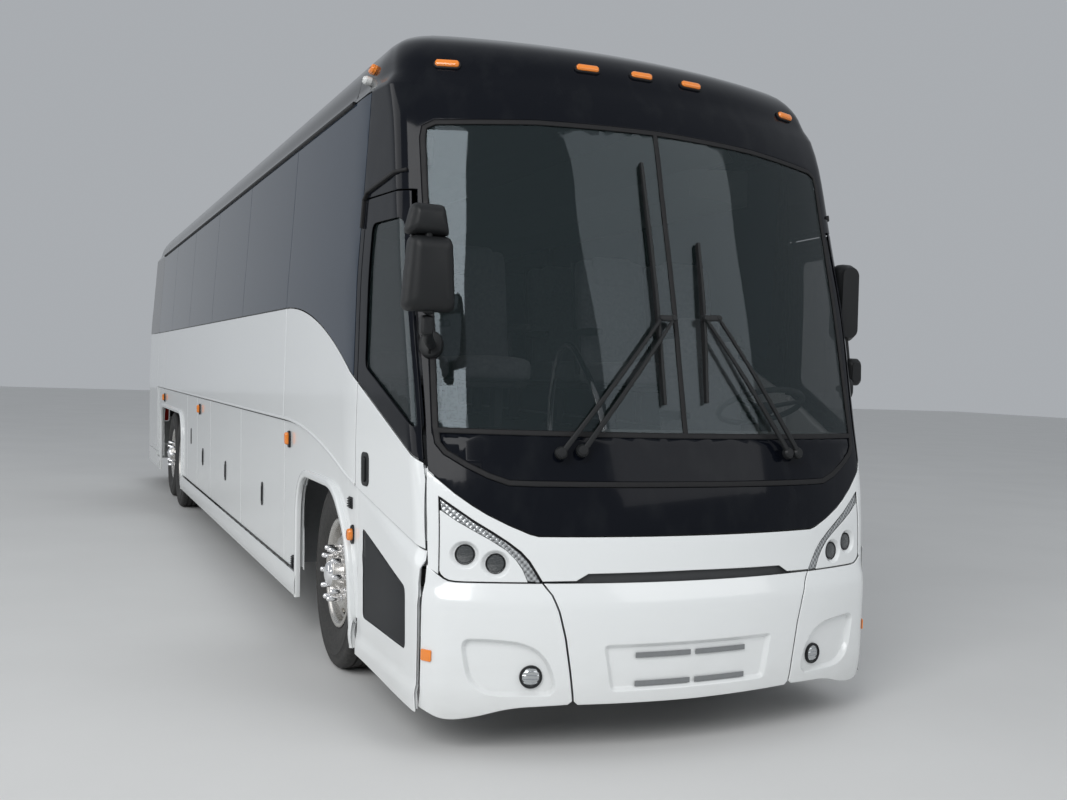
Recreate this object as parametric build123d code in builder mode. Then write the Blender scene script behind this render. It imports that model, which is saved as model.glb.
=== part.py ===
from build123d import *
from math import hypot, sqrt
import os

os.makedirs("parts", exist_ok=True)

# A 45-foot three-axle coach: X forward, Y left, Z up, ground at Z 0, millimetres

# Overall sizes
length = 13840
half_width = 1295.5
front_overhang = 1990
wheelbase = 8020
tag_spacing = 1220

# Heights of the body's horizontal lines
skirt_bottom_z = 270
rocker_z = 385
door_foot_z = 420
rub_z = 1320
belt_z = 2030
gutter_z = 3050
shoulder_z = 3112
crown_z = 3470

# Half widths of the body at those heights
skirt_half = 1272
rocker_half = 1285
door_foot_half = 1270
gutter_half = 1253
shoulder_half = 1212
roof_bend_half = 1113
roof_bend_z = 3343
roof_top_half = 880
roof_top_z = 3430

# Walls, glass and gaps
wall = 50
glass_thick = 8
pane_thick = 12
panel_gap = 7
seam_gap = 6
clear = 0.3
ledge_depth = 12
knuckle_radius = 3.2
knuckle_length = 160

# Places along the coach
front_axle_x = length / 2 - front_overhang
drive_axle_x = front_axle_x - wheelbase
tag_axle_x = drive_axle_x - tag_spacing
rear_x = -length / 2
face_reach = front_axle_x + 2300
cap_start_x = front_axle_x + 250
taper_start_x = front_axle_x + 660
cab_edge_x = taper_start_x - 5
taper = 0.0957
tail_start_x = front_axle_x - 10400
bay_pitch = 1880
first_seam_x = front_axle_x - 1160
bay_end_x = front_axle_x - 5970
service_end_x = front_axle_x - 6850

# Entry door and driver's window
entry_rear_x = front_axle_x + 840
entry_front_x = front_axle_x + 1650
entry_top_z = 2500
entry_lean_z = 950
entry_lean = 0.297
entry_axis = (entry_front_x + 6.5, -1194)
entry_axis_room = 100

# Wheel arches
arch_half = 670
arch_top_z = 1085
arch_corner = 260

# Tyres and wheels
tyre_radius = 522
tyre_width = 298
rim_radius = 298
wheel_y = 1050
twin_inner_y = 705
kingpin_y = 900

# Sweep of the belt and rub lines towards the nose
sweep_radius = 5000
sweep_slope = 0.385
rub_sweep_radius = 7000
rub_sweep_slope = 0.22
sweep_start_x = front_axle_x - 1190
rub_sweep_start_x = front_axle_x - 1090

# Front face
nose_curve_radius = 2450
mask_edge = [(722, 956), (842, 1001), (989, 1083), (1108, 1179), (1190, 1262)]
bumper_seam = [(1068, 752), (1190, 828)]
bumper_foot = [(583, 222), (828, 212), (966, 169), (1052, 155), (1112, 162), (1190, 212)]
split_seam = [(562, 238), (582, 375), (606, 518), (635, 631), (663, 704), (700, 760)]
windshield_top_z = 2880
windshield_top_half = 1120
windshield_foot_z = 1165
windshield_foot_half = 870
windshield_side_z = 1354
windshield_side_half = 1130
glass_foot_z = 1430
bead = 26

# Hollows in the face: air slot, licence plate recess with its bare bars, fog lamp recess
relief_depth = 25
air_slot = [(0, 740), (565, 740), (553, 760), (500, 793), (0, 797)]
plate_recess_half = 448
plate_recess_foot = 262
plate_recess_top = 482
plate_bar = (570, 24)
plate_bar_heights = [305, 432]
fog_recess = [
    (1039, 488), (1019, 519), (915, 518), (792, 505), (719, 472), (671, 415),
    (642, 338), (636, 291), (664, 262), (905, 263), (976, 292), (1013, 348),
]

# Lamps in the face: place across, height, radius; and the curved light strip over the headlamps
lamp_setback = 16
headlamps = [(1020, 871, 50), (895, 834, 50)]
fog_lamps = [(746, 346, 54)]
light_strip = [
    (1108, 1112), (982, 1020), (843, 931), (752, 848), (704, 768),
    (766, 768), (811, 852), (913, 934), (1051, 1014), (1108, 1056),
]

# Clearance lamps along the roof's front edge: place across, height
clearance_lamps = [(0, 3199), (293, 3196), (969, 3151)]

# Wipers, seen from the front: pivots, arm ends and blade ends
wiper_reach = 24
wiper_lift = 10
arm_width = 22
blade_width = 18
wiper_sets = [
    ([((-610, 1321), (-96, 1953)), ((-517, 1332), (-33, 1953))], ((-103, 1548), (-103, 2717))),
    ([((561, 1326), (138, 1965)), ((624, 1326), (213, 1969))], ((120, 1561), (163, 2337))),
]

# Mirror heads seen from the front: centre across, height, width, height of the head
mirror_x = 6815
driver_mirror_x = 6235
mirror_depth = 100
mirror_heads_right = [(-1290, 2057, 220, 286), (-1304, 2274, 166, 118)]
mirror_heads_left = [(1322, 2145, 156, 450)]
rack_y = 800

# Inside
deck_z = 1330
deck_thick = 40
cab_deck_z = 900
seat_pitch = 820
seat_rows = 13
seat_width = 980
aisle_half = 210

# Horizontal sections of the nose: height, setback of the front face, half width, corner radius
nose_sections = [
    (150, 30, 1262, 150),
    (215, 15, 1266, 150),
    (skirt_bottom_z, 2, skirt_half, 150),
    (rocker_z, 0, rocker_half, 150),
    (door_foot_z, 0, door_foot_half, 150),
    (600, 0, 1275, 150),
    (760, 35, 1280, 140),
    (960, 50, 1285, 140),
    (1170, 90, 1291, 130),
    (rub_z, 130, half_width, 120),
    (1430, 163, half_width, 116),
    (belt_z, 325, half_width, 112),
    (2900, 602, 1259, 120),
    (gutter_z, 685, gutter_half, 130),
    (shoulder_z, 725, shoulder_half, 130),
    (3200, 776, 1190, 160),
    (3300, 890, 1138, 200),
    (3350, 1010, 1093, 220),
    (3400, 1170, 1020, 220),
    (roof_top_z, 1330, 880, 200),
    (3460, 1550, 420, 120),
]

# Horizontal sections of the tail: height, setback of the rear face, half width, corner radius
tail_sections = [
    (skirt_bottom_z, 60, skirt_half, 140),
    (rocker_z, 20, rocker_half, 140),
    (door_foot_z, 10, door_foot_half, 140),
    (rub_z, 0, half_width, 140),
    (belt_z, 20, half_width, 140),
    (gutter_z, 150, gutter_half, 150),
    (shoulder_z, 165, shoulder_half, 160),
    (3200, 190, 1190, 180),
    (3300, 240, 1138, 200),
    (3350, 290, 1093, 220),
    (3400, 390, 1020, 220),
    (roof_top_z, 500, 880, 200),
    (3460, 700, 420, 120),
]

# The straight side's section: height, half width
side_section = [
    (skirt_bottom_z, skirt_half),
    (rocker_z, rocker_half),
    (door_foot_z, door_foot_half),
    (rub_z, half_width),
    (belt_z, half_width),
    (gutter_z, gutter_half),
]


def nose_outline(z, setback, half, corner, inset, back_x):
    nose_x = length / 2 - setback - inset
    side = half - inset
    meet = side
    for _ in range(20):
        corner_x = nose_x - meet * meet / (2 * nose_curve_radius)
        start_x = min(taper_start_x, corner_x - corner - 20)
        meet = side - taper * (corner_x - start_x)
    with BuildSketch(Plane.XY.offset(z)) as outline:
        with BuildLine():
            Polyline((corner_x, -meet), (start_x, -side), (back_x, -side))
            Line((back_x, -side), (back_x, side))
            Polyline((back_x, side), (start_x, side), (corner_x, meet))
            ThreePointArc((corner_x, meet), (nose_x, 0), (corner_x, -meet))
        make_face()
        ends = [v for v in outline.vertices() if abs(v.X - corner_x) < 1]
        fillet(ends, max(corner - inset, 40))
    return outline.sketch.face()


def tail_outline(z, setback, half, corner, inset, front_x):
    x = rear_x + setback + inset
    side = half - inset
    with BuildSketch(Plane.XY.offset(z)) as outline:
        Polygon((front_x, -side), (x, -side), (x, side), (front_x, side), align=None)
        ends = [v for v in outline.vertices() if abs(v.X - x) < 1]
        fillet(ends, max(corner - inset, 40))
    return outline.sketch.face()


def sunk(z, inset):
    # Roof levels of an inner surface drop by the wall, and its lowest level opens the floor
    if inset and z > shoulder_z:
        return z - inset
    if inset and z <= skirt_bottom_z:
        return z - 30
    return z


def lean_x(z):
    return entry_front_x - entry_lean * max(z - entry_lean_z, 0)


def side_curve(start_x, start_z, radius, slope, end_x):
    # Points of a level line, an arc that turns down and a straight fall, seen from the side
    turn = slope / sqrt(1 + slope * slope)
    arc_x = start_x + radius * turn
    arc_z = start_z - radius * (1 - sqrt(1 - turn * turn))
    half_turn = turn / 2
    mid = (start_x + radius * half_turn, start_z - radius * (1 - sqrt(1 - half_turn * half_turn)))
    return (start_x, start_z), mid, (arc_x, arc_z), (end_x, arc_z - slope * (end_x - arc_x))


def under_curve(start_x, start_z, radius, slope, foot=-50):
    # The side-view region under such a line
    back = rear_x - 100
    start, mid, turned, end = side_curve(start_x, start_z, radius, slope, front_axle_x + 2300)
    with BuildSketch(Plane.XZ) as region:
        with BuildLine():
            Line((back, start_z), start)
            ThreePointArc(start, mid, turned)
            Polyline(turned, end, (end[0], foot), (back, foot), (back, start_z))
        make_face()
    return region.sketch


def under_sweep(drop=0):
    return under_curve(sweep_start_x, belt_z - drop, sweep_radius, sweep_slope)


def under_rub(drop):
    return under_curve(rub_sweep_start_x, rub_z - drop, rub_sweep_radius, rub_sweep_slope)


def side_polygon(*points):
    with BuildSketch(Plane.XZ) as region:
        Polygon(*points, align=None)
    return region.sketch


def side_box(x0, x1, z0, z1, corner=0):
    with BuildSketch(Plane.XZ) as region:
        Polygon((x0, z0), (x1, z0), (x1, z1), (x0, z1), align=None)
        if corner:
            fillet(region.vertices(), corner)
    return region.sketch


def front_polygon(*points):
    # A region seen from the front, with its mirror image, from points on its left half
    twins = [(-y, z) for y, z in reversed(points) if y > 0]
    with BuildSketch(Plane.YZ) as region:
        Polygon(*points, *twins, align=None)
    return region.sketch


def under_line(points):
    # The region under a line across the face, which runs level to the middle from its first point
    (y0, z0), (y1, z1) = points[-2:]
    far_z = z1 + (z1 - z0) / (y1 - y0) * (1500 - y1)
    return front_polygon((0, -50), (1500, -50), (1500, far_z), *reversed(points), (0, points[0][1]))


def shifted(points, rise):
    return [(y, z + rise) for y, z in points]


def front_pair(points, grow=0):
    # A region off to one side, seen from the front, and its mirror image
    with BuildSketch(Plane.YZ) as region:
        Polygon(*points, align=None)
        Polygon(*[(-y, z) for y, z in points], align=None)
        if grow:
            offset(amount=grow, kind=Kind.INTERSECTION)
    return region.sketch


def front_discs(y, z, radius):
    with BuildSketch(Plane.YZ) as region:
        with Locations((-y, z), (y, z)):
            Circle(radius)
    return region.sketch


def bar(start, end, width):
    # The corners of a straight bar, square at both ends
    run = hypot(end[0] - start[0], end[1] - start[1])
    across = -(end[1] - start[1]) / run * width / 2
    along = (end[0] - start[0]) / run * width / 2
    return [
        (start[0] + across, start[1] + along),
        (start[0] - across, start[1] - along),
        (end[0] - across, end[1] - along),
        (end[0] + across, end[1] + along),
    ]


def behind_lean(shift=0, back=rear_x - 100, foot=-50, top=4000):
    # The side-view region behind the entry door's leaning front edge
    front = entry_front_x + shift
    return side_polygon(
        (back, foot), (front, foot), (front, entry_lean_z), (lean_x(top) + shift, top), (back, top)
    )


def entry_shape(grow):
    foot = skirt_bottom_z - 2 * max(grow, 0)
    return behind_lean(grow, entry_rear_x - grow, foot, entry_top_z + grow)


def arch_shape(x0, x1, grow):
    top = arch_top_z + grow
    with BuildSketch(Plane.XZ) as region:
        Polygon((x0 - grow, -50), (x1 + grow, -50), (x1 + grow, top), (x0 - grow, top), align=None)
        ends = [v for v in region.vertices() if v.Z > 0]
        fillet(ends, arch_corner)
    return region.sketch


def write(part, name):
    part.label = name
    export_step(part, "parts/" + name + ".step")


def write_pair(part, name):
    write(part, name + "_right")
    write(part.mirror(Plane.XZ), name + "_left")


def nose_block(inset, back_x):
    # The nose's shape, shrunk by the inset or grown by a negative one
    with BuildPart() as block:
        loft([nose_outline(sunk(z, inset), s, h, c, inset, back_x) for z, s, h, c in nose_sections], ruled=True)
    return block.part


def tail_block(inset, front_x):
    with BuildPart() as block:
        loft([tail_outline(sunk(z, inset), s, h, c, inset, front_x) for z, s, h, c in tail_sections], ruled=True)
    return block.part


# Outer and hollow shapes of the nose and the tail
nose_solid = nose_block(0, cap_start_x)
nose_hollow = nose_block(wall, cap_start_x - 60)

with BuildPart() as nose_shell:
    add(nose_solid)
    add(nose_hollow, mode=Mode.SUBTRACT)

with BuildPart() as tail_shell:
    add(tail_block(0, tail_start_x))
    add(tail_block(wall, tail_start_x + 60), mode=Mode.SUBTRACT)

# Side skin from the tail to the entry door's leaning front edge, as one wall
with BuildPart() as skin_right:
    with BuildSketch(Plane.YZ.offset(tail_start_x)):
        outer = [(-w, z) for z, w in side_section]
        inner = [(-w + wall, z) for z, w in reversed(side_section)]
        Polygon(*outer, *inner, align=None)
    extrude(amount=cap_start_x - tail_start_x)

with BuildPart() as nose_side:
    add(nose_shell.part)
    extrude(behind_lean(-panel_gap, cap_start_x, skirt_bottom_z, gutter_z), amount=2000, mode=Mode.INTERSECT)

# The outer layer of the right side under the rub line, taken off so that the line stands proud
with BuildPart() as lower_layer:
    with BuildSketch(Plane.YZ.offset(tail_start_x)):
        outer = [(-w - panel_gap, z) for z, w in side_section]
        inner = [(-w + ledge_depth, z) for z, w in reversed(side_section)]
        Polygon(*outer, *inner, align=None)
    extrude(amount=cap_start_x - tail_start_x)
    add(nose_block(-panel_gap, cap_start_x))
    add(nose_block(ledge_depth, cap_start_x - 60), mode=Mode.SUBTRACT)
    with BuildSketch(Plane.XZ) as layer_region:
        add(under_rub(panel_gap))
        with Locations((0, door_foot_z / 2)):
            Rectangle(2 * length, door_foot_z, mode=Mode.SUBTRACT)
    extrude(layer_region.sketch, amount=2000, mode=Mode.INTERSECT)

# Doors and openings along the right side, in the side view
bay_seams = [first_seam_x, first_seam_x - bay_pitch, first_seam_x - 2 * bay_pitch, bay_end_x]
bays = list(zip(bay_seams[1:], bay_seams))
window_seams = [first_seam_x - bay_pitch * n for n in range(6)]
pane_front_x = entry_rear_x - 60
pane_spans = list(zip(window_seams[1:], window_seams)) + [(window_seams[0], pane_front_x)]
arches = [(front_axle_x - arch_half, front_axle_x + arch_half), (tag_axle_x - arch_half, drive_axle_x + arch_half)]


def glass_slab(outset):
    # The flush glazing's thickness along the right side
    with BuildPart() as slab:
        with BuildSketch(Plane.YZ.offset(rear_x)):
            Polygon(
                (-half_width - outset, belt_z - 700),
                (-half_width - outset, belt_z),
                (-gutter_half - outset, gutter_z),
                (-gutter_half + glass_thick, gutter_z),
                (-half_width + glass_thick, belt_z),
                (-half_width + glass_thick, belt_z - 700),
                align=None,
            )
        extrude(amount=length)
    return slab.part


def window_holes():
    # Daylight openings, smaller than the panes that cover them
    with BuildSketch(Plane.XZ) as holes:
        for x0, x1 in pane_spans:
            add(side_box(x0 + 45, x1 - 45, belt_z - 700, gutter_z - 60, 60))
        add(under_sweep(-70), mode=Mode.SUBTRACT)
    return holes.sketch


def cab_light(margin):
    # The window above the belt in the entry door, and the driver's one across from it
    with BuildSketch(Plane.XZ) as light:
        add(behind_lean(-90, entry_rear_x + margin, 1300, entry_top_z - margin))
        add(under_sweep(-90), mode=Mode.SUBTRACT)
    return light.sketch


driver_light = cab_light(70)


def wall_side(front_opening):
    # A whole side, with the entry's opening or the driver's window in its front end
    with BuildPart() as side_wall:
        add(skin_right.part)
        add(nose_side.part)
        extrude(front_opening, amount=2000, mode=Mode.SUBTRACT)
        for x0, x1 in arches:
            extrude(arch_shape(x0, x1, 0), amount=2000, mode=Mode.SUBTRACT)
        for x0, x1 in bays:
            extrude(side_box(x0, x1, door_foot_z, rub_z - panel_gap), amount=2000, mode=Mode.SUBTRACT)
        extrude(window_holes(), amount=2000, mode=Mode.SUBTRACT)
        cap_zone = side_box(pane_front_x, face_reach, entry_top_z + panel_gap, gutter_z + 1)
        extrude(cap_zone, amount=2000, mode=Mode.SUBTRACT)
        with BuildPart(mode=Mode.PRIVATE) as rebate:
            add(glass_slab(60))
            extrude(side_box(tail_start_x, pane_front_x, belt_z - 900, gutter_z + 1), amount=2000, mode=Mode.INTERSECT)
            extrude(under_sweep(), amount=2000, mode=Mode.SUBTRACT)
        add(rebate.part, mode=Mode.SUBTRACT)
        add(lower_layer.part, mode=Mode.SUBTRACT)
    return side_wall.part


write(wall_side(entry_shape(panel_gap)), "side_wall_right")
write(mirror(wall_side(driver_light), about=Plane.XZ), "side_wall_left")

with BuildPart() as pane_shell:
    add(nose_solid)
    add(nose_block(pane_thick, cap_start_x - 60), mode=Mode.SUBTRACT)

with BuildPart() as driver_pane:
    add(pane_shell.part)
    extrude(driver_light, amount=2000, mode=Mode.INTERSECT)

with BuildPart() as side_panes:
    add(glass_slab(0))
    with BuildSketch(Plane.XZ) as panes:
        for x0, x1 in pane_spans:
            add(side_box(max(x0, tail_start_x) + seam_gap / 2, x1 - seam_gap / 2, belt_z - 900, gutter_z))
        add(under_sweep(-2), mode=Mode.SUBTRACT)
    extrude(panes.sketch, amount=2000, mode=Mode.INTERSECT)

with BuildPart() as side_glass:
    add(side_panes.part)
    add(mirror(side_panes.part, about=Plane.XZ))
    add(mirror(driver_pane.part, about=Plane.XZ))
write(side_glass.part, "side_glass")

# Luggage doors, hinged along their upper edges
for number, (x0, x1) in enumerate(bays, 1):
    with BuildPart() as bay_door:
        add(skin_right.part)
        gap = panel_gap
        extrude(side_box(x0 + gap, x1 - gap, door_foot_z + gap, rub_z - 2 * gap), amount=2000, mode=Mode.INTERSECT)
        add(lower_layer.part, mode=Mode.SUBTRACT)
        for share in (0.1, 0.5, 0.9):
            x = x0 + (x1 - x0) * share
            with BuildSketch(Plane.YZ.offset(x - knuckle_length / 2)):
                with Locations((ledge_depth - half_width, rub_z - 1.5 * gap)):
                    Circle(knuckle_radius)
                with Locations((ledge_depth - half_width, rub_z - 2 * gap)):
                    Rectangle(2 * knuckle_radius, gap)
            extrude(amount=knuckle_length)
    write(bay_door.part, f"luggage_door_right_{number}")
    write(mirror(bay_door.part, about=Plane.XZ), f"luggage_door_left_{number}")

# Entry door with its upper and lower windows
with BuildPart() as door_blank:
    add(nose_shell.part)
    door_shape = behind_lean(-panel_gap, entry_rear_x, skirt_bottom_z, entry_top_z)
    extrude(door_shape, amount=2000, mode=Mode.INTERSECT)

with BuildSketch(Plane.XZ) as door_lights:
    add(cab_light(130))
    x0 = entry_rear_x + 120
    add(side_polygon((x0, 470), (x0 + 640, 500), (x0 + 640, 730), (x0, 890)))

with BuildPart() as entry_door:
    add(door_blank.part)
    add(lower_layer.part, mode=Mode.SUBTRACT)
    extrude(door_lights.sketch, amount=2000, mode=Mode.SUBTRACT)
write(entry_door.part, "entry_door")

with BuildPart() as entry_glass:
    add(pane_shell.part)
    extrude(door_lights.sketch, amount=2000, mode=Mode.INTERSECT)
write(entry_glass.part, "entry_glass")

# Nose: black cap above, white mask between, bumper below


def ahead_of_door():
    # The face lies ahead of the door's leaning edge
    top = 2 * gutter_z
    return side_polygon(
        (entry_front_x, -50), (face_reach, -50), (face_reach, top), (lean_x(top), top), (entry_front_x, entry_lean_z)
    )


# The outer layer of the face, which its hollows are cut from
with BuildPart() as relief_shell:
    add(nose_solid)
    add(nose_block(relief_depth, cap_start_x - 60), mode=Mode.SUBTRACT)


def layer_cut(layer, region):
    with BuildPart() as piece:
        add(layer)
        extrude(region, amount=face_reach, mode=Mode.INTERSECT)
    return piece.part


def plate_region():
    # The licence plate's recess around its bare holder bars
    height = plate_recess_top - plate_recess_foot
    with BuildSketch(Plane.YZ) as region:
        with Locations((0, plate_recess_foot + height / 2)):
            RectangleRounded(2 * plate_recess_half, height, 30)
        for z in plate_bar_heights:
            with Locations((0, z)):
                Rectangle(*plate_bar, mode=Mode.SUBTRACT)
    return region.sketch


windshield_shape = [
    (0, windshield_foot_z),
    (windshield_foot_half, windshield_foot_z),
    (windshield_side_half, windshield_side_z),
    (windshield_top_half, windshield_top_z - 50),
    (0, windshield_top_z),
]

with BuildPart() as face:
    add(nose_shell.part)
    extrude(ahead_of_door(), amount=2000, both=True, mode=Mode.INTERSECT)

with BuildPart() as front_cap:
    add(nose_shell.part)
    with BuildPart(mode=Mode.PRIVATE) as low_side:
        extrude(behind_lean(0, cap_start_x - 100, 0, entry_top_z + panel_gap), amount=2000, both=True)
    add(low_side.part, mode=Mode.SUBTRACT)
    with BuildPart(mode=Mode.PRIVATE) as wall_side:
        extrude(side_box(cap_start_x - 100, pane_front_x, 0, gutter_z), amount=2000, both=True)
    add(wall_side.part, mode=Mode.SUBTRACT)
    with BuildPart(mode=Mode.PRIVATE) as white_side:
        extrude(under_line(mask_edge), amount=face_reach)
    add(white_side.part, mode=Mode.SUBTRACT)
    with BuildPart(mode=Mode.PRIVATE) as glass_hole:
        extrude(front_polygon(*windshield_shape), amount=face_reach)
        with BuildSketch(Plane.XZ):
            Rectangle(2 * (front_axle_x + 600), 9000)
        extrude(amount=2000, both=True, mode=Mode.SUBTRACT)
    add(glass_hole.part, mode=Mode.SUBTRACT)
write(front_cap.part, "front_cap")

with BuildPart() as front_mask:
    add(face.part)
    extrude(under_line(mask_edge), amount=face_reach, mode=Mode.INTERSECT)
    with BuildPart(mode=Mode.PRIVATE) as bumper_zone:
        extrude(under_line(shifted(bumper_seam, clear)), amount=face_reach)
    add(bumper_zone.part, mode=Mode.SUBTRACT)
    for y, z, radius in headlamps:
        extrude(front_discs(y, z, radius), amount=face_reach, mode=Mode.SUBTRACT)
    add(layer_cut(relief_shell.part, front_polygon(*air_slot)), mode=Mode.SUBTRACT)
    add(layer_cut(pane_shell.part, front_pair(light_strip)), mode=Mode.SUBTRACT)
write(front_mask.part, "front_mask")

with BuildPart() as bumper_all:
    add(face.part)
    extrude(under_line(bumper_seam), amount=face_reach, mode=Mode.INTERSECT)
    extrude(under_line(bumper_foot), amount=face_reach, mode=Mode.SUBTRACT)
    for y, z, radius in fog_lamps:
        extrude(front_discs(y, z, radius), amount=face_reach, mode=Mode.SUBTRACT)

with BuildPart() as bumper_centre:
    add(bumper_all.part)
    extrude(
        front_polygon((0, 0), (split_seam[0][0], 0), *split_seam, (0, split_seam[-1][1])),
        amount=face_reach,
        mode=Mode.INTERSECT,
    )
    add(layer_cut(relief_shell.part, plate_region()), mode=Mode.SUBTRACT)
write(bumper_centre.part, "bumper_centre")

with BuildPart() as bumper_corner:
    add(bumper_all.part)
    with BuildPart(mode=Mode.PRIVATE) as corner_zone:
        with BuildSketch(Plane.YZ):
            seam = [(-y - clear, z) for y, z in split_seam]
            Polygon((-1600, 0), (seam[0][0], 0), *seam, (seam[-1][0], 1000), (-1600, 1000), align=None)
        extrude(amount=face_reach)
    add(corner_zone.part, mode=Mode.INTERSECT)
    add(layer_cut(relief_shell.part, front_pair(fog_recess)), mode=Mode.SUBTRACT)
write_pair(bumper_corner.part, "bumper_corner")

# Headlamps and fog lamps, set back from the face
with BuildPart() as lamp_shell:
    add(nose_block(lamp_setback, cap_start_x))
    add(nose_hollow, mode=Mode.SUBTRACT)

with BuildPart() as lamp_set:
    add(lamp_shell.part)
    with BuildPart(mode=Mode.PRIVATE) as lamp_zone:
        for y, z, radius in headlamps + fog_lamps:
            extrude(front_discs(y, z, radius - clear), amount=face_reach)
    add(lamp_zone.part, mode=Mode.INTERSECT)
    add(layer_cut(pane_shell.part, front_pair(light_strip, -clear)))
write(lamp_set.part, "headlamps")

# Windshield panes, their seal and the black band under them
with BuildPart() as windshield:
    add(pane_shell.part)
    extrude(
        front_polygon(
            (bead / 2, glass_foot_z + bead / 2),
            (windshield_side_half - bead, glass_foot_z + bead / 2),
            (windshield_top_half - bead, windshield_top_z - 50 - bead),
            (bead / 2, windshield_top_z - bead),
        ),
        amount=face_reach,
        mode=Mode.INTERSECT,
    )
write(windshield.part, "windshield")

with BuildPart() as nose_band:
    add(pane_shell.part)
    extrude(
        front_polygon(
            (0, windshield_foot_z + bead),
            (windshield_foot_half - 10, windshield_foot_z + bead),
            (windshield_side_half - bead, windshield_side_z + 10),
            (windshield_side_half - bead, glass_foot_z - bead / 2),
            (0, glass_foot_z - bead / 2),
        ),
        amount=face_reach,
        mode=Mode.INTERSECT,
    )
write(nose_band.part, "nose_band")

with BuildPart() as windshield_seal:
    add(pane_shell.part)
    extrude(front_polygon(*windshield_shape), amount=face_reach, mode=Mode.INTERSECT)
    add(windshield.part, mode=Mode.SUBTRACT)
    add(nose_band.part, mode=Mode.SUBTRACT)
write(windshield_seal.part, "windshield_seal")

# Roof between the nose and tail caps
with BuildPart() as roof:
    with BuildSketch(Plane.YZ.offset(tail_start_x)) as roof_section:
        with BuildLine():
            Polyline((-gutter_half + wall, gutter_z), (-gutter_half, gutter_z), (-shoulder_half, shoulder_z))
            ThreePointArc((-shoulder_half, shoulder_z), (-roof_bend_half, roof_bend_z), (-roof_top_half, roof_top_z))
            ThreePointArc((-roof_top_half, roof_top_z), (0, crown_z), (roof_top_half, roof_top_z))
            ThreePointArc((roof_top_half, roof_top_z), (roof_bend_half, roof_bend_z), (shoulder_half, shoulder_z))
            Polyline((shoulder_half, shoulder_z), (gutter_half, gutter_z), (gutter_half - wall, gutter_z))
            Polyline((gutter_half - wall, gutter_z), (shoulder_half - wall, shoulder_z - 20))
            ThreePointArc(
                (shoulder_half - wall, shoulder_z - 20),
                (roof_bend_half - 0.7 * wall, roof_bend_z - 0.7 * wall),
                (roof_top_half, roof_top_z - wall),
            )
            ThreePointArc((roof_top_half, roof_top_z - wall), (0, crown_z - wall), (-roof_top_half, roof_top_z - wall))
            ThreePointArc(
                (-roof_top_half, roof_top_z - wall),
                (-roof_bend_half + 0.7 * wall, roof_bend_z - 0.7 * wall),
                (-shoulder_half + wall, shoulder_z - 20),
            )
            Line((-shoulder_half + wall, shoulder_z - 20), (-gutter_half + wall, gutter_z))
        make_face()
    extrude(amount=cap_start_x - tail_start_x)
write(roof.part, "roof")

# Tail cap with its engine door and bumper
engine_door_half = 950
engine_door_foot_z = 480
engine_door_top_z = 1850
hinge_setback = 14.8
tail_bumper_top_z = 460
tail_lamp_y = 1075
tail_lamp_z = 1080
tail_lamp_width = 130
tail_lamp_height = 560


def rear_region(half, z0, z1, corner=40):
    with BuildSketch(Plane.YZ) as region:
        Polygon((-half, z0), (half, z0), (half, z1), (-half, z1), align=None)
        fillet(region.vertices(), corner)
    return region.sketch


def tail_lamp_region(shrink):
    with BuildSketch(Plane.YZ) as region:
        for y in (-tail_lamp_y, tail_lamp_y):
            with Locations((y, tail_lamp_z)):
                RectangleRounded(tail_lamp_width - 2 * shrink, tail_lamp_height - 2 * shrink, 30)
    return region.sketch


with BuildPart() as tail_cap:
    add(tail_shell.part)
    with BuildPart(mode=Mode.PRIVATE) as door_hole:
        extrude(rear_region(engine_door_half, engine_door_foot_z, engine_door_top_z), amount=rear_x - 400)
        extrude(side_box(rear_x - 500, rear_x + 300, 0, 4000), amount=2000, both=True, mode=Mode.INTERSECT)
    add(door_hole.part, mode=Mode.SUBTRACT)
    with BuildPart(mode=Mode.PRIVATE) as bumper_zone:
        extrude(side_box(rear_x - 100, rear_x + 460, 0, tail_bumper_top_z + seam_gap), amount=2000, both=True)
    add(bumper_zone.part, mode=Mode.SUBTRACT)
    extrude(tail_lamp_region(0), amount=rear_x - 400, mode=Mode.SUBTRACT)
write(tail_cap.part, "tail_cap")

with BuildPart() as tail_lamps:
    add(tail_shell.part)
    with BuildPart(mode=Mode.PRIVATE) as lamp_zone:
        extrude(tail_lamp_region(clear), amount=rear_x - 400)
    add(lamp_zone.part, mode=Mode.INTERSECT)
write(tail_lamps.part, "tail_lamps")

with BuildPart() as engine_door:
    add(tail_shell.part)
    with BuildPart(mode=Mode.PRIVATE) as door_zone:
        gap = panel_gap
        extrude(
            rear_region(engine_door_half - gap, engine_door_foot_z + gap, engine_door_top_z - gap, 35),
            amount=rear_x - 400,
        )
        extrude(side_box(rear_x - 500, rear_x + 300, 0, 4000), amount=2000, both=True, mode=Mode.INTERSECT)
    add(door_zone.part, mode=Mode.INTERSECT)
    hinge_x = rear_x + hinge_setback
    hinge_z = engine_door_top_z - panel_gap / 2
    for y in (-600, 0, 600):
        with BuildSketch(Plane.XZ.offset(-y)):
            with Locations((hinge_x, hinge_z)):
                Circle(knuckle_radius)
            with Locations((hinge_x, hinge_z - panel_gap / 2)):
                Rectangle(2 * knuckle_radius, panel_gap)
        extrude(amount=knuckle_length)
write(engine_door.part, "engine_door")

with BuildPart() as tail_bumper:
    add(tail_shell.part)
    with BuildPart(mode=Mode.PRIVATE) as bumper_zone:
        extrude(side_box(rear_x - 100, rear_x + 460 - clear, 0, tail_bumper_top_z), amount=2000, both=True)
    add(bumper_zone.part, mode=Mode.INTERSECT)
write(tail_bumper.part, "tail_bumper")

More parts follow.
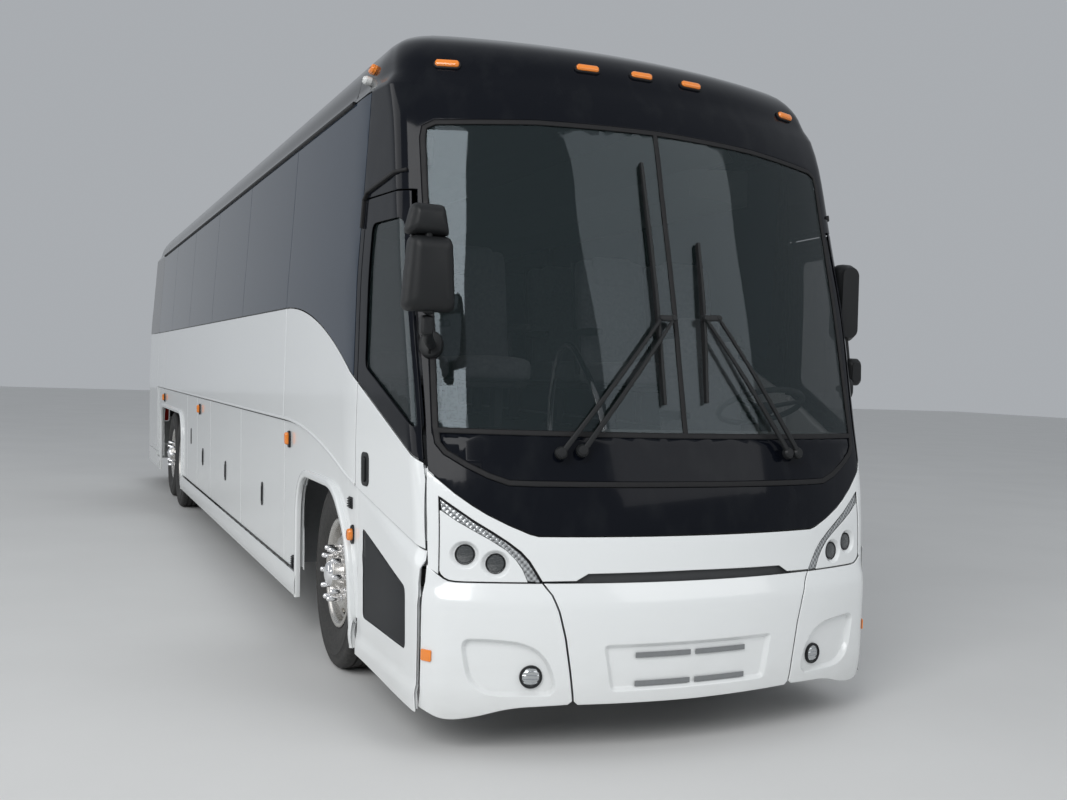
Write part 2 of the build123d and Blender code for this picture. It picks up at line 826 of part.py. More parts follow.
# Cabin floor, driver's platform and entry steps
deck_half = half_width - wall - 1.2
with BuildPart() as cabin_floor:
    with BuildSketch(Plane.XY.offset(deck_z)):
        Polygon(
            (rear_x + 200, -deck_half),
            (cab_edge_x, -deck_half),
            (cab_edge_x, deck_half),
            (rear_x + 200, deck_half),
            align=None,
        )
    extrude(amount=-deck_thick)
write(cabin_floor.part, "cabin_floor")

step_x0 = entry_rear_x + 20
step_x1 = entry_front_x - 60
step_rise = 190
step_run = 205
step_count = 4
step_thick = 30
stairwell_y = -290
first_step_z = cab_deck_z - (step_count - 1) * step_rise
with BuildPart() as cab_floor:
    add(nose_hollow)
    with BuildPart(mode=Mode.PRIVATE) as whole:
        deck = side_box(cab_edge_x + clear, face_reach, cab_deck_z - step_thick, cab_deck_z)
        extrude(deck, amount=2000, both=True)
        riser = side_box(cab_edge_x + clear, cab_edge_x + step_thick, cab_deck_z, deck_z)
        extrude(riser, amount=2000, both=True)
        with BuildSketch(Plane.XZ.offset(-stairwell_y)):
            Polygon((step_x0, 0), (step_x1, 0), (step_x1, 3000), (step_x0, 3000), align=None)
        extrude(amount=2000, mode=Mode.SUBTRACT)
    add(whole.part, mode=Mode.INTERSECT)
    with Locations((*entry_axis, cab_deck_z)):
        Cylinder(entry_axis_room, 200, mode=Mode.SUBTRACT)
    with BuildSketch(Plane.YZ.offset(step_x0)):
        for n in range(step_count):
            z = cab_deck_z - n * step_rise
            y = stairwell_y - n * step_run
            Polygon((y, z - step_thick), (y - step_run, z - step_thick), (y - step_run, z), (y, z), align=None)
            if n:
                Polygon(
                    (y, z - step_thick),
                    (y + step_thick, z - step_thick),
                    (y + step_thick, z + step_rise),
                    (y, z + step_rise),
                    align=None,
                )
    extrude(amount=step_x1 - step_x0)
write(cab_floor.part, "cab_floor")

# Luggage bays: floor and bulkheads
bay_floor_z = door_foot_z + 10
bay_half = door_foot_half - wall - 1
with BuildPart() as bay_box:
    with BuildSketch(Plane.XY.offset(bay_floor_z)):
        Polygon(
            (service_end_x, -bay_half),
            (first_seam_x, -bay_half),
            (first_seam_x, bay_half),
            (service_end_x, bay_half),
            align=None,
        )
    extrude(amount=-30)
    for x in bay_seams + [service_end_x + 12]:
        with BuildSketch(Plane.YZ.offset(x - 12)):
            top = deck_z - deck_thick
            Polygon((-bay_half, bay_floor_z), (bay_half, bay_floor_z), (bay_half, top), (-bay_half, top), align=None)
        extrude(amount=24)
write(bay_box.part, "luggage_bays")

# Underframe rails and cross members ahead of and behind the bays
rail_y = 430
rail_half = 30
rail_foot_z = 880
rail_top_z = deck_z - deck_thick
front_rail = (first_seam_x + 12 + clear, cab_edge_x)
rear_rail = (rear_x + 300, service_end_x - clear)
jack_places = [front_axle_x - 900, drive_axle_x + 820]
jack_pad = (140, 100, 20)
cross_places = [front_axle_x - 700, cab_edge_x - 20, service_end_x - 60, tag_axle_x - 760, rear_x + 360]
with BuildPart() as underframe:
    for x0, x1 in (front_rail, rear_rail):
        for y in (-rail_y, rail_y):
            with Locations(((x0 + x1) / 2, y, (rail_foot_z + rail_top_z) / 2)):
                Box(x1 - x0, 2 * rail_half, rail_top_z - rail_foot_z)
    for x in cross_places:
        with Locations((x, 0, (rail_foot_z + 1000) / 2)):
            Box(40, 2 * (rail_y + 600), 1000 - rail_foot_z)
    for x in jack_places:
        for y in (-rail_y, rail_y):
            with Locations((x, y, rail_foot_z - jack_pad[2] / 2)):
                Box(*jack_pad)
write(underframe.part, "underframe")

with BuildPart() as engine:
    with Locations((rear_x + 1080, 0, 880)):
        Box(1100, 2 * (rail_y - rail_half - clear), 780)
    fillet(engine.edges().filter_by(Axis.X), 60)
write(engine.part, "engine")

# Axles
hub_bore = 50.3
spindle = 50
wheel_z = tyre_radius
drive_profile = [
    (-965, 0), (-965, 60), (-715, 60), (-715, 90), (-260, 95), (-200, 200), (-120, 235),
    (120, 235), (200, 200), (260, 95), (715, 90), (715, 60), (965, 60), (965, 0),
]
with BuildPart() as drive_axle:
    with BuildSketch(Plane.YZ.offset(drive_axle_x)):
        Polygon(*[(y, wheel_z + r) for y, r in drive_profile], align=None)
    revolve(axis=Axis((drive_axle_x, 0, wheel_z), (0, 1, 0)))
write(drive_axle.part, "drive_axle")

tag_profile = [(-1160, 0), (-1160, 50), (-985, 50), (-985, 65), (985, 65), (985, 50), (1160, 50), (1160, 0)]
with BuildPart() as tag_axle:
    with BuildSketch(Plane.YZ.offset(tag_axle_x)):
        Polygon(*[(y, wheel_z + r) for y, r in tag_profile], align=None)
    revolve(axis=Axis((tag_axle_x, 0, wheel_z), (0, 1, 0)))
write(tag_axle.part, "tag_axle")

with BuildPart() as front_axle:
    with Locations((front_axle_x, 0, 480)):
        Box(100, 2 * kingpin_y - 60, 100)
    for y in (-kingpin_y, kingpin_y):
        with Locations((front_axle_x, y, wheel_z)):
            Cylinder(55, 200)
            Cylinder(25.3, 200, mode=Mode.SUBTRACT)
write(front_axle.part, "front_axle")

with BuildPart() as knuckle:
    for z in (400, 644):
        with Locations((front_axle_x, kingpin_y + 20, z)):
            Box(110, 130, 34)
    with Locations((front_axle_x, kingpin_y + 74, wheel_z)):
        Box(110, 22, 278)
    with Locations((front_axle_x, kingpin_y, wheel_z)):
        Cylinder(25, 278)
    with BuildSketch(Plane.XZ.offset(-kingpin_y - 80)):
        with Locations((front_axle_x, wheel_z)):
            Circle(spindle)
    extrude(amount=-(wheel_y + 115 - kingpin_y - 80))
write(knuckle.part, "knuckle_left")
write(mirror(knuckle.part, about=Plane.XZ), "knuckle_right")

# Air springs between the axles and the rails
with BuildPart() as air_springs:
    for x, z0 in ((front_axle_x, 530), (drive_axle_x, 616), (tag_axle_x, 587)):
        for y in (-rail_y, rail_y):
            with Locations((x, y, (z0 + clear + rail_foot_z) / 2)):
                Cylinder(105, rail_foot_z - z0 - clear)
write(air_springs.part, "air_springs")

# Wheels: half sections as offset along the axle and radius
single_profile = [
    (165, 0), (165, 70), (158, 104), (124, 110), (118, 190), (95, 240), (80, 268), (125, 282), (125, rim_radius),
    (113, rim_radius), (113, 290), (-113, 290), (-113, rim_radius), (-125, rim_radius), (-125, 272), (40, 264),
    (62, 240), (88, 190), (92, 110), (-60, 110), (-60, hub_bore), (116, hub_bore), (116, 0),
]
twin_profile = [
    (135, 0), (135, 60), (95, 104), (30, 112), (12, 125), (12, 185), (75, 254), (170, 268), (295, 276),
    (295, rim_radius), (283, rim_radius), (283, 290), (57, 290), (57, rim_radius), (45, rim_radius), (45, 272),
    (4, 196), (-4, 196), (-45, 272), (-45, rim_radius), (-57, rim_radius), (-57, 290), (-283, 290),
    (-283, rim_radius), (-295, rim_radius), (-295, 276), (-170, 268), (-75, 254), (-12, 185), (-12, 112),
    (-180, 112), (-180, 60.3), (62, 60.3), (62, 0),
]
tyre_half = tyre_width / 2
tyre_profile = [
    (-112, 290), (-112, 300), (-132, 330), (-tyre_half, 410), (-136, 490), (-118, tyre_radius), (118, tyre_radius),
    (136, 490), (tyre_half, 410), (132, 330), (112, 300), (112, 290),
]


def turned(points, x, y):
    with BuildPart() as piece:
        with BuildSketch(Plane.YZ.offset(x)):
            Polygon(*[(y + a, wheel_z + r) for a, r in points], align=None)
        revolve(axis=Axis((x, 0, wheel_z), (0, 1, 0)))
    return piece.part


def ring_of(count, circle_radius, x, y, radius, reach, sides=0):
    with BuildPart() as ring:
        with BuildSketch(Plane.XZ.offset(-y)):
            with Locations((x, wheel_z)):
                with PolarLocations(circle_radius, count):
                    if sides:
                        RegularPolygon(radius, sides)
                    else:
                        Circle(radius)
        extrude(amount=-reach)
    return ring.part


twin_y = (wheel_y + twin_inner_y) / 2 + 30
for name, x, y, profile, nut_y in (
    ("front", front_axle_x, wheel_y, single_profile, 120),
    ("tag", tag_axle_x, wheel_y, single_profile, 120),
    ("drive", drive_axle_x, twin_y, twin_profile, 12),
):
    with BuildPart() as wheel:
        add(turned(profile, x, y))
        if name != "drive":
            add(ring_of(10, 218, x, y + 40, 26, 120), mode=Mode.SUBTRACT)
        add(ring_of(10, 143, x, y + nut_y - 4, 17, 52, 6))
    write(wheel.part, f"wheel_{name}_left")
    write(mirror(wheel.part, about=Plane.XZ), f"wheel_{name}_right")
    with BuildPart() as tyre:
        for offset in (-170, 170) if name == "drive" else (0,):
            add(turned(tyre_profile, x, y + offset))
    write(tyre.part, f"tyre_{name}_left")
    write(mirror(tyre.part, about=Plane.XZ), f"tyre_{name}_right")

# Seats in pairs either side of the aisle
with BuildPart() as passenger_seats:
    first_x = front_axle_x + 420
    for row in range(seat_rows):
        x = first_x - row * seat_pitch
        with BuildSketch(Plane.XZ.offset(-(aisle_half + seat_width))):
            Polygon(
                (x, deck_z), (x, deck_z + 330), (x + 60, deck_z + 340), (x + 60, deck_z + 450),
                (x - 360, deck_z + 430), (x - 480, deck_z + 1080), (x - 560, deck_z + 1060),
                (x - 440, deck_z + 340), (x - 300, deck_z + 330), (x - 300, deck_z),
                align=None,
            )
        extrude(amount=seat_width)
    mirror(about=Plane.XZ)
write(passenger_seats.part, "passenger_seats")

with BuildPart() as driver_seat:
    x = front_axle_x + 1180
    with BuildSketch(Plane.XZ.offset(-980)):
        Polygon(
            (x - 60, cab_deck_z), (x - 60, cab_deck_z + 300), (x, cab_deck_z + 320), (x, cab_deck_z + 440),
            (x - 380, cab_deck_z + 420), (x - 500, cab_deck_z + 1120), (x - 590, cab_deck_z + 1100),
            (x - 440, cab_deck_z + 320), (x - 300, cab_deck_z + 300), (x - 300, cab_deck_z),
            align=None,
        )
    extrude(amount=520)
write(driver_seat.part, "driver_seat")

# Dash, steering column and wheel
with BuildPart() as dash:
    x = front_axle_x + 1400
    with BuildSketch(Plane.XZ.offset(-1120)):
        Polygon(
            (x + 100, cab_deck_z), (x + 60, cab_deck_z + 260), (x - 20, cab_deck_z + 420), (x + 20, cab_deck_z + 500),
            (x + 180, cab_deck_z + 520), (x + 500, cab_deck_z + 420), (x + 500, cab_deck_z),
            align=None,
        )
    extrude(amount=1400)
    add(nose_hollow, mode=Mode.INTERSECT)
write(dash.part, "dash")

wheel_centre = (front_axle_x + 1330, 720, cab_deck_z + 640)
steering_plane = Plane(origin=wheel_centre, x_dir=(0, 1, 0), z_dir=(-0.42, 0, 0.91))
with BuildPart() as steering_wheel:
    with Locations(steering_plane):
        Torus(225, 15)
        with Locations((0, 0, -20)):
            Cylinder(60, 40)
        for turn in (0, 120, 240):
            with Locations(Location((0, 0, -10), (0, 0, turn + 90))):
                with Locations((125, 0, 0)):
                    Box(200, 34, 12)
        with Locations((0, 0, -140)):
            Cylinder(30, 240)
    add(dash.part, mode=Mode.SUBTRACT)
write(steering_wheel.part, "steering_wheel")

# Parcel racks over the seats
def rack_edge(z):
    # The inner face of the side wall at a height above the belt
    spread = (half_width - gutter_half) * (gutter_z - z) / (gutter_z - belt_z)
    return gutter_half + spread - wall - clear


with BuildPart() as parcel_racks:
    with BuildSketch(Plane.YZ.offset(tail_start_x + 100)):
        Polygon(
            (rack_y, 2790), (rack_edge(2760), 2760), (rack_edge(2980), 2980), (rack_y, 2950),
            align=None,
        )
        mirror(about=Plane.YZ)
    extrude(amount=front_axle_x + 300 - tail_start_x - 100)
write(parcel_racks.part, "parcel_racks")

# Mirrors on their arms: a two-part one on the entry side, a single one on the driver's
with BuildPart() as mirror_right:
    with BuildSketch(Plane.YZ.offset(mirror_x)):
        for y, z, width, height in mirror_heads_right:
            with Locations((y, z)):
                RectangleRounded(width, height, 40)
    extrude(amount=mirror_depth)
    with BuildSketch(Plane.YZ.offset(mirror_x + 25)):
        Polygon(*bar((-1304, 2300), (-1306, 1900), 46), align=None)
        Polygon(*bar((-1306, 1900), (-1290, 1680), 40), align=None)
    extrude(amount=50)
    with BuildSketch(Plane.XY.offset(1680)):
        Polygon((mirror_x + 75, -1316), (6380, -1196), (6380, -1140), (mirror_x + 75, -1264), align=None)
    extrude(amount=50)
    add(nose_solid, mode=Mode.SUBTRACT)
write(mirror_right.part, "mirror_right")

with BuildPart() as mirror_left:
    with BuildSketch(Plane.YZ.offset(driver_mirror_x)):
        for y, z, width, height in mirror_heads_left:
            with Locations((y, z)):
                RectangleRounded(width, height, 60)
        Polygon(*bar((1320, 1960), (1300, 1640), 50), align=None)
    extrude(amount=mirror_depth)
    with BuildSketch(Plane.YZ.offset(driver_mirror_x + 20)):
        Polygon(*bar((1324, 1660), (1150, 1640), 60), align=None)
    extrude(amount=60)
    add(nose_solid, mode=Mode.SUBTRACT)
write(mirror_left.part, "mirror_left")

# Wipers that follow the glass: blades rest on it, arms stand off it
with BuildPart() as wipers:
    add(nose_block(-wiper_reach, cap_start_x))
    add(nose_solid, mode=Mode.SUBTRACT)
    with BuildPart(mode=Mode.PRIVATE) as wiper_zone:
        with BuildSketch(Plane.YZ):
            for arms, blade in wiper_sets:
                for start, end in arms:
                    Polygon(*bar(start, end, arm_width), align=None)
                    with Locations(start):
                        Circle(arm_width)
                Polygon(*bar(*blade, blade_width), align=None)
                Polygon(*bar(arms[0][1], (blade[0][0], arms[0][1][1]), 3 * arm_width), align=None)
        extrude(amount=face_reach)
    add(wiper_zone.part, mode=Mode.INTERSECT)
    with BuildPart(mode=Mode.PRIVATE) as air_gap:
        add(nose_block(-wiper_lift, cap_start_x))
        with BuildPart(mode=Mode.PRIVATE) as touching:
            with BuildSketch(Plane.YZ):
                for arms, blade in wiper_sets:
                    Polygon(*bar(*blade, blade_width), align=None)
                    with Locations(*[start for start, _ in arms]):
                        Circle(arm_width)
            extrude(amount=face_reach)
        add(touching.part, mode=Mode.SUBTRACT)
    add(air_gap.part, mode=Mode.SUBTRACT)
write(wipers.part, "wipers")

# Clearance lamps along the roof's front edge
with BuildPart() as marker_lamps:
    for y, z in clearance_lamps:
        for side in (-1, 1) if y else (1,):
            with BuildSketch(Plane.YZ):
                with Locations((side * y, z)):
                    SlotOverall(120, 40)
            extrude(amount=face_reach)
    add(nose_block(-22, cap_start_x), mode=Mode.INTERSECT)
    add(nose_solid, mode=Mode.SUBTRACT)
write(marker_lamps.part, "marker_lamps")
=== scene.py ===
import bpy
import bmesh
from functools import lru_cache
from math import acos, asin, atan2, ceil, cos, floor, hypot, pi, radians, sin, sqrt
from mathutils import Matrix, Vector


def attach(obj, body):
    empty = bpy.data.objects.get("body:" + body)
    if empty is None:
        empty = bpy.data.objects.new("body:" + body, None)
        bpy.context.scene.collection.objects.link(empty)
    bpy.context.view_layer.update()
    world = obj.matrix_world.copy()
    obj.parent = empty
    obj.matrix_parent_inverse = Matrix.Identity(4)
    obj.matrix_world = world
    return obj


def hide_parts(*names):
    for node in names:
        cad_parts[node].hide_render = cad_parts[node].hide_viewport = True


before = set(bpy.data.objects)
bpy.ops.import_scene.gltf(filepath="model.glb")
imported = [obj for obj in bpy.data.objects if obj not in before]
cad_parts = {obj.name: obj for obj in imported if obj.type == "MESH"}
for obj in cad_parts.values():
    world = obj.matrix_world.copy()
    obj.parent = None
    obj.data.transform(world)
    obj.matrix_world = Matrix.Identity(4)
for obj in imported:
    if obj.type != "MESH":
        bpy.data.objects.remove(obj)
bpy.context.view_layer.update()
print("frame loaded")


def added(name, data):
    # A new object in the scene
    made = bpy.data.objects.new(name, data)
    bpy.context.scene.collection.objects.link(made)
    return made


# Camera

view = {
    "place": (11.67, -2.684, 1.667),
    "yaw": 152.97,
    "pitch": -0.45,
    "roll": 2.11,
    "lens": 40.54,
    "shift": (-0.112, -0.0112),
}


def makeCamera():
    data = bpy.data.cameras.new("viewCamera")
    data.sensor_width = 36
    data.lens = view["lens"]
    data.shift_x, data.shift_y = view["shift"]
    data.clip_end = 200
    camera = added("viewCamera", data)
    yaw, pitch, roll = (radians(view[k]) for k in ("yaw", "pitch", "roll"))
    ahead = Vector((cos(yaw) * cos(pitch), sin(yaw) * cos(pitch), sin(pitch)))
    right = ahead.cross(Vector((0, 0, 1))).normalized()
    up = right.cross(ahead)
    tilt = Matrix.Rotation(-roll, 3, ahead)
    right, up = tilt @ right, tilt @ up
    turn = Matrix((right, up, -ahead)).transposed()
    camera.matrix_world = Matrix.Translation(view["place"]) @ turn.to_4x4()
    bpy.context.scene.camera = camera


makeCamera()
print("camera placed")


# Shader maths: a socket that takes part in Python expressions

class Flow:
    def __init__(self, finish, socket):
        self.finish, self.socket = finish, socket

    def maths(self, operation, *values):
        return self.finish.node("ShaderNodeMath", {"operation": operation}, dict(enumerate(values)))

    def __add__(self, other):
        return self.maths("ADD", self, other)

    def __sub__(self, other):
        return self.maths("SUBTRACT", self, other)

    def __mul__(self, other):
        return self.maths("MULTIPLY", self, other)

    def __truediv__(self, other):
        return self.maths("DIVIDE", self, other)

    def __pow__(self, other):
        return self.maths("POWER", self, other)

    def __gt__(self, other):
        return self.maths("GREATER_THAN", self, other)

    def __lt__(self, other):
        return self.maths("LESS_THAN", self, other)

    def __rsub__(self, other):
        return self.maths("SUBTRACT", other, self)

    def __rtruediv__(self, other):
        return self.maths("DIVIDE", other, self)

    __radd__, __rmul__ = __add__, __mul__

    def clamped(self):
        return self.maths("MINIMUM", self.maths("MAXIMUM", self, 0.0), 1.0)

    def wave(self, turns):
        return self.maths("SINE", self * (2 * pi * turns))


# A material with one Principled shader and whatever feeds it

class Finish:
    def __init__(self, name, color, roughness, **sockets):
        self.material = bpy.data.materials.new(name)
        self.material.use_nodes = True
        self.tree = self.material.node_tree
        self.shader = self.tree.nodes["Principled BSDF"]
        self.set("Base Color", color)
        self.set("Roughness", roughness)
        for key, value in sockets.items():
            self.set(key.replace("_", " "), value)

    def put(self, socket, value):
        if isinstance(value, Flow):
            self.tree.links.new(value.socket, socket)
        elif hasattr(socket.default_value, "__len__"):
            socket.default_value = (*value, 1.0)[: len(socket.default_value)]
        else:
            socket.default_value = value

    def set(self, name, value):
        self.put(self.shader.inputs[name], value)
        return self

    def node(self, kind, settings=None, values=None, out=0):
        made = self.tree.nodes.new(kind)
        for key, value in (settings or {}).items():
            if key == "stops":
                ramp = made.color_ramp
                while len(ramp.elements) < len(value):
                    ramp.elements.new(0.5)
                for element, (place, shade) in zip(ramp.elements, value):
                    element.position = place
                    element.color = (*shade, 1.0)
            else:
                setattr(made, key, value)
        for key, value in (values or {}).items():
            self.put(made.inputs[key], value)
        return Flow(self, made.outputs[out])

    def place(self):
        return self.node("ShaderNodeTexCoord", out=3)

    def axes(self):
        split = self.node("ShaderNodeSeparateXYZ", values={0: self.place()})
        node = split.socket.node
        return [Flow(self, node.outputs[i]) for i in range(3)]

    def noise(self, scale, detail=3.0, stretch=(1, 1, 1)):
        at = self.node("ShaderNodeMapping", values={0: self.place(), 3: stretch})
        return self.node("ShaderNodeTexNoise", values={"Vector": at, "Scale": scale, "Detail": detail})

    def mixed(self, amount, first, second):
        made = self.tree.nodes.new("ShaderNodeMix")
        made.data_type = "RGBA"
        self.put(made.inputs[0], amount)
        self.put(made.inputs[6], first)
        self.put(made.inputs[7], second)
        return Flow(self, made.outputs[2])

    def bump(self, height, strength, distance=0.001):
        values = {"Height": height, "Strength": strength, "Distance": distance}
        self.set("Normal", self.node("ShaderNodeBump", values=values))
        return self


paints = {
    "white": (0.80, 0.82, 0.82),
    "lowTone": (0.42, 0.40, 0.36),
    "black": (0.004, 0.005, 0.008),
    # dark blue glass: partly its own tint, partly painted sky reflection
    "glass": (0.018, 0.028, 0.045),
    "screen": (0.010, 0.016, 0.016),
    "rubber": (0.012, 0.012, 0.013),
    "plastic": (0.013, 0.014, 0.015),
    "amber": (0.82, 0.23, 0.02),
    "red": (0.42, 0.02, 0.015),
}


def makeWhitePaint():
    # White gloss paint with a faint waviness, darker, browner and rougher in mottled patches towards the bottom
    finish = Finish("whitePaint", paints["white"], 0.16, Coat_Weight=0.6, Coat_Roughness=0.05)
    low = (1.0 - finish.axes()[2] * 0.9).clamped()
    lowPatch = (low ** 3.0) * finish.noise(5.0, 5.0, (1, 1, 2.5)) * 0.55
    finish.set("Base Color", finish.mixed(lowPatch.clamped(), paints["white"], paints["lowTone"]))
    finish.set("Roughness", 0.16 + lowPatch * 0.5)
    return finish.bump(finish.noise(1.6, 1.0), 0.10, 0.004).material


def makeBlackPaint():
    finish = Finish("blackPaint", paints["black"], 0.09, Coat_Weight=0.12, Coat_Roughness=0.04, Specular_IOR_Level=0.10)
    dust = finish.noise(9.0, 6.0, (1, 1, 0.5))
    finish.set("Roughness", 0.06 + dust * 0.10)
    finish.set("Base Color", finish.mixed((dust - 0.5).clamped(), paints["black"], (0.02, 0.022, 0.024)))
    return finish.bump(finish.noise(1.3, 1.0), 0.08, 0.004).material


def makeSideGlass(name, color, shine):
    # The bluish specular tint paints a blue sky reflection into the glass; the dark blue colour is partly the glass's
    # own tint and partly painted sky reflection
    finish = Finish(name, color, 0.04, Specular_IOR_Level=shine, Specular_Tint=(0.62, 0.76, 1.0))
    finish.set("Roughness", 0.03 + finish.noise(6.0, 4.0) * 0.03)
    return finish.bump(finish.noise(0.9, 1.0), 0.06, 0.004).material


def makeClearGlass(name, alpha):
    # The bluish specular tint paints a blue sky reflection into the glass
    finish = Finish(name, paints["screen"], 0.02, Alpha=alpha, Specular_IOR_Level=0.9, Specular_Tint=(0.80, 0.92, 1.0))
    finish.set("Roughness", 0.01 + finish.noise(8.0, 4.0, (1, 1, 0.3)) * 0.03)
    return finish.material


def makeRubber(name, color, roughness=0.55):
    finish = Finish(name, color, roughness, Specular_IOR_Level=0.25)
    finish.set("Roughness", roughness - 0.1 + finish.noise(30.0, 4.0) * 0.25)
    return finish.bump(finish.noise(220.0, 3.0), 0.25, 0.0006).material


def makeMetal(name, color, roughness):
    finish = Finish(name, color, roughness, Metallic=1.0)
    smear = finish.noise(40.0, 5.0)
    finish.set("Roughness", roughness * 0.7 + smear * roughness * 0.7)
    return finish.bump(smear, 0.05, 0.0005).material


def makeLens(name, color, pitch):
    # Moulded lens with fine ribs and a faint painted glow in its own colour, which the reflectors that use it show too
    finish = Finish(name, color, 0.12, Coat_Weight=0.6, Emission_Strength=0.04)
    finish.set("Emission Color", color)
    ribs = finish.axes()[2].wave(pitch)
    return finish.bump(ribs, 0.4, 0.001).material


def makeRibbed(name, color, metal, pitch):
    # Lamp glass with upright flutes over a mottled reflector
    finish = Finish(name, color, 0.08, Coat_Weight=0.6, Metallic=metal)
    flutes = finish.axes()[1].wave(pitch) * 0.5 + finish.noise(pitch * 0.8, 3.0) * 1.5
    return finish.bump(flutes, 0.5, 0.004).material


def makeTyre():
    finish = Finish("tyreRubber", (0.022, 0.022, 0.022), 0.75)
    grain = finish.noise(60.0, 6.0)
    finish.set("Base Color", finish.mixed((grain - 0.35).clamped(), (0.016, 0.016, 0.016), (0.085, 0.08, 0.072)))
    return finish.bump(finish.noise(150.0, 4.0), 0.3, 0.001).material


def makeFabric():
    finish = Finish("seatFabric", (0.20, 0.21, 0.23), 0.85, Sheen_Weight=0.3)
    x, y, z = finish.axes()
    weave = x.wave(260.0) * z.wave(260.0) + y.wave(260.0) * 0.5
    fleck = finish.noise(60.0, 3.0)
    finish.set("Base Color", finish.mixed(fleck, (0.12, 0.125, 0.14), (0.30, 0.31, 0.33)))
    return finish.bump(weave, 0.3, 0.0008).material


def makePlain(name, color, roughness, scale=45.0, grain=0.15):
    finish = Finish(name, color, roughness)
    patch = finish.noise(scale, 4.0)
    darker = tuple(c * 0.8 for c in color)
    finish.set("Base Color", finish.mixed(patch, darker, color))
    finish.set("Roughness", roughness - 0.05 + patch * 0.12)
    return finish.bump(patch, grain, 0.0006).material


def makeLed():
    # Small clear cells in a row over a bright backing
    finish = Finish("ledCells", (0.35, 0.36, 0.37), 0.12, Coat_Weight=0.8, Metallic=0.5)
    x, y, z = finish.axes()
    cells = y.wave(38.0) * (z - x * 0.2).wave(34.0)
    finish.set("Base Color", finish.mixed((cells * 0.5 + 0.5).clamped(), (0.10, 0.105, 0.11), (0.60, 0.62, 0.63)))
    return finish.bump(cells, 0.6, 0.003).material


finishes = {
    "white": makeWhitePaint(),
    "black": makeBlackPaint(),
    "sideGlass": makeSideGlass("sideGlass", paints["glass"], 0.13),
    "lowGlass": makeSideGlass("lowGlass", (0.006, 0.007, 0.009), 0.06),
    "screen": makeClearGlass("screenGlass", 0.42),
    "doorGlass": makeClearGlass("doorGlass", 0.55),
    "rubber": makeRubber("bodyRubber", paints["rubber"]),
    "plastic": makeRubber("grainedPlastic", paints["plastic"], 0.42),
    "alloy": makeMetal("polishedAlloy", (0.58, 0.56, 0.53), 0.26),
    "chrome": makeMetal("chrome", (0.92, 0.92, 0.93), 0.06),
    "castIron": makePlain("castIron", (0.075, 0.072, 0.068), 0.7, 30.0, 0.5),
    "frameSteel": makePlain("frameSteel", (0.035, 0.036, 0.038), 0.55),
    "bayLining": makePlain("bayLining", (0.30, 0.31, 0.32), 0.5),
    "floorCover": makePlain("floorCover", (0.10, 0.105, 0.11), 0.7),
    "trim": makePlain("innerTrim", (0.32, 0.34, 0.33), 0.6),
    "darkTrim": makePlain("darkTrim", (0.045, 0.047, 0.05), 0.6),
    "fabric": makeFabric(),
    "tyre": makeTyre(),
    "amber": makeLens("amberLens", paints["amber"], 90.0),
    "red": makeLens("redLens", paints["red"], 60.0),
    "lampGlass": makeRibbed("headlampGlass", (0.035, 0.040, 0.042), 0.0, 170.0),
    "fogGlass": makeRibbed("fogLampGlass", (0.50, 0.52, 0.53), 0.85, 60.0),
    "led": makeLed(),
    "shadowGap": makePlain("shadowGap", (0.05, 0.052, 0.055), 0.6),
    "grey": makePlain("slotGrey", (0.22, 0.23, 0.235), 0.45),
}
print("finishes made")


# The skin: one surface from nose to tail that the panels, panes and doors are cut from

body = {
    "nose": 6.92,
    "tail": -6.92,
    "faceCurve": 2.45,
    "taperStart": 5.59,
    "taper": 0.0957,
    "gutter": 3.05,
}

# distance up the skin, height, front setback, half width, nose corner, rear setback, tail corner
skinRows = [
    (0.150, 0.150, 0.030, 1.262, 0.150, 0.080, 0.14),
    (0.215, 0.215, 0.012, 1.266, 0.150, 0.070, 0.14),
    (0.300, 0.300, 0.002, 1.270, 0.150, 0.050, 0.14),
    (0.450, 0.450, 0.000, 1.272, 0.150, 0.020, 0.14),
    (0.600, 0.600, 0.000, 1.276, 0.150, 0.010, 0.14),
    (0.655, 0.655, 0.003, 1.278, 0.148, 0.008, 0.14),
    (0.700, 0.700, 0.016, 1.279, 0.144, 0.006, 0.14),
    (0.745, 0.745, 0.037, 1.280, 0.140, 0.004, 0.14),
    (0.790, 0.790, 0.040, 1.281, 0.140, 0.002, 0.14),
    (0.960, 0.960, 0.052, 1.285, 0.140, 0.000, 0.14),
    (1.170, 1.170, 0.090, 1.291, 0.130, 0.000, 0.14),
    (1.320, 1.320, 0.130, 1.2955, 0.120, 0.000, 0.14),
    (1.430, 1.430, 0.163, 1.2955, 0.116, 0.003, 0.14),
    (2.030, 2.030, 0.325, 1.2955, 0.112, 0.020, 0.14),
    (2.500, 2.500, 0.472, 1.2770, 0.115, 0.075, 0.145),
    (2.900, 2.900, 0.602, 1.2595, 0.120, 0.131, 0.15),
    (3.0500, 3.050, 0.685, 1.253, 0.130, 0.150, 0.15),
    (3.1243, 3.112, 0.725, 1.212, 0.130, 0.165, 0.16),
    (3.2150, 3.200, 0.776, 1.190, 0.160, 0.190, 0.18),
    (3.3277, 3.300, 0.890, 1.138, 0.200, 0.240, 0.20),
    (3.3950, 3.350, 1.010, 1.093, 0.220, 0.290, 0.22),
    (3.4835, 3.400, 1.170, 1.020, 0.220, 0.390, 0.22),
    (3.6267, 3.430, 1.330, 0.880, 0.200, 0.500, 0.20),
    (4.0877, 3.460, 1.550, 0.420, 0.120, 0.700, 0.12),
    (4.5080, 3.469, 1.660, 0.012, 0.010, 0.800, 0.01),
]


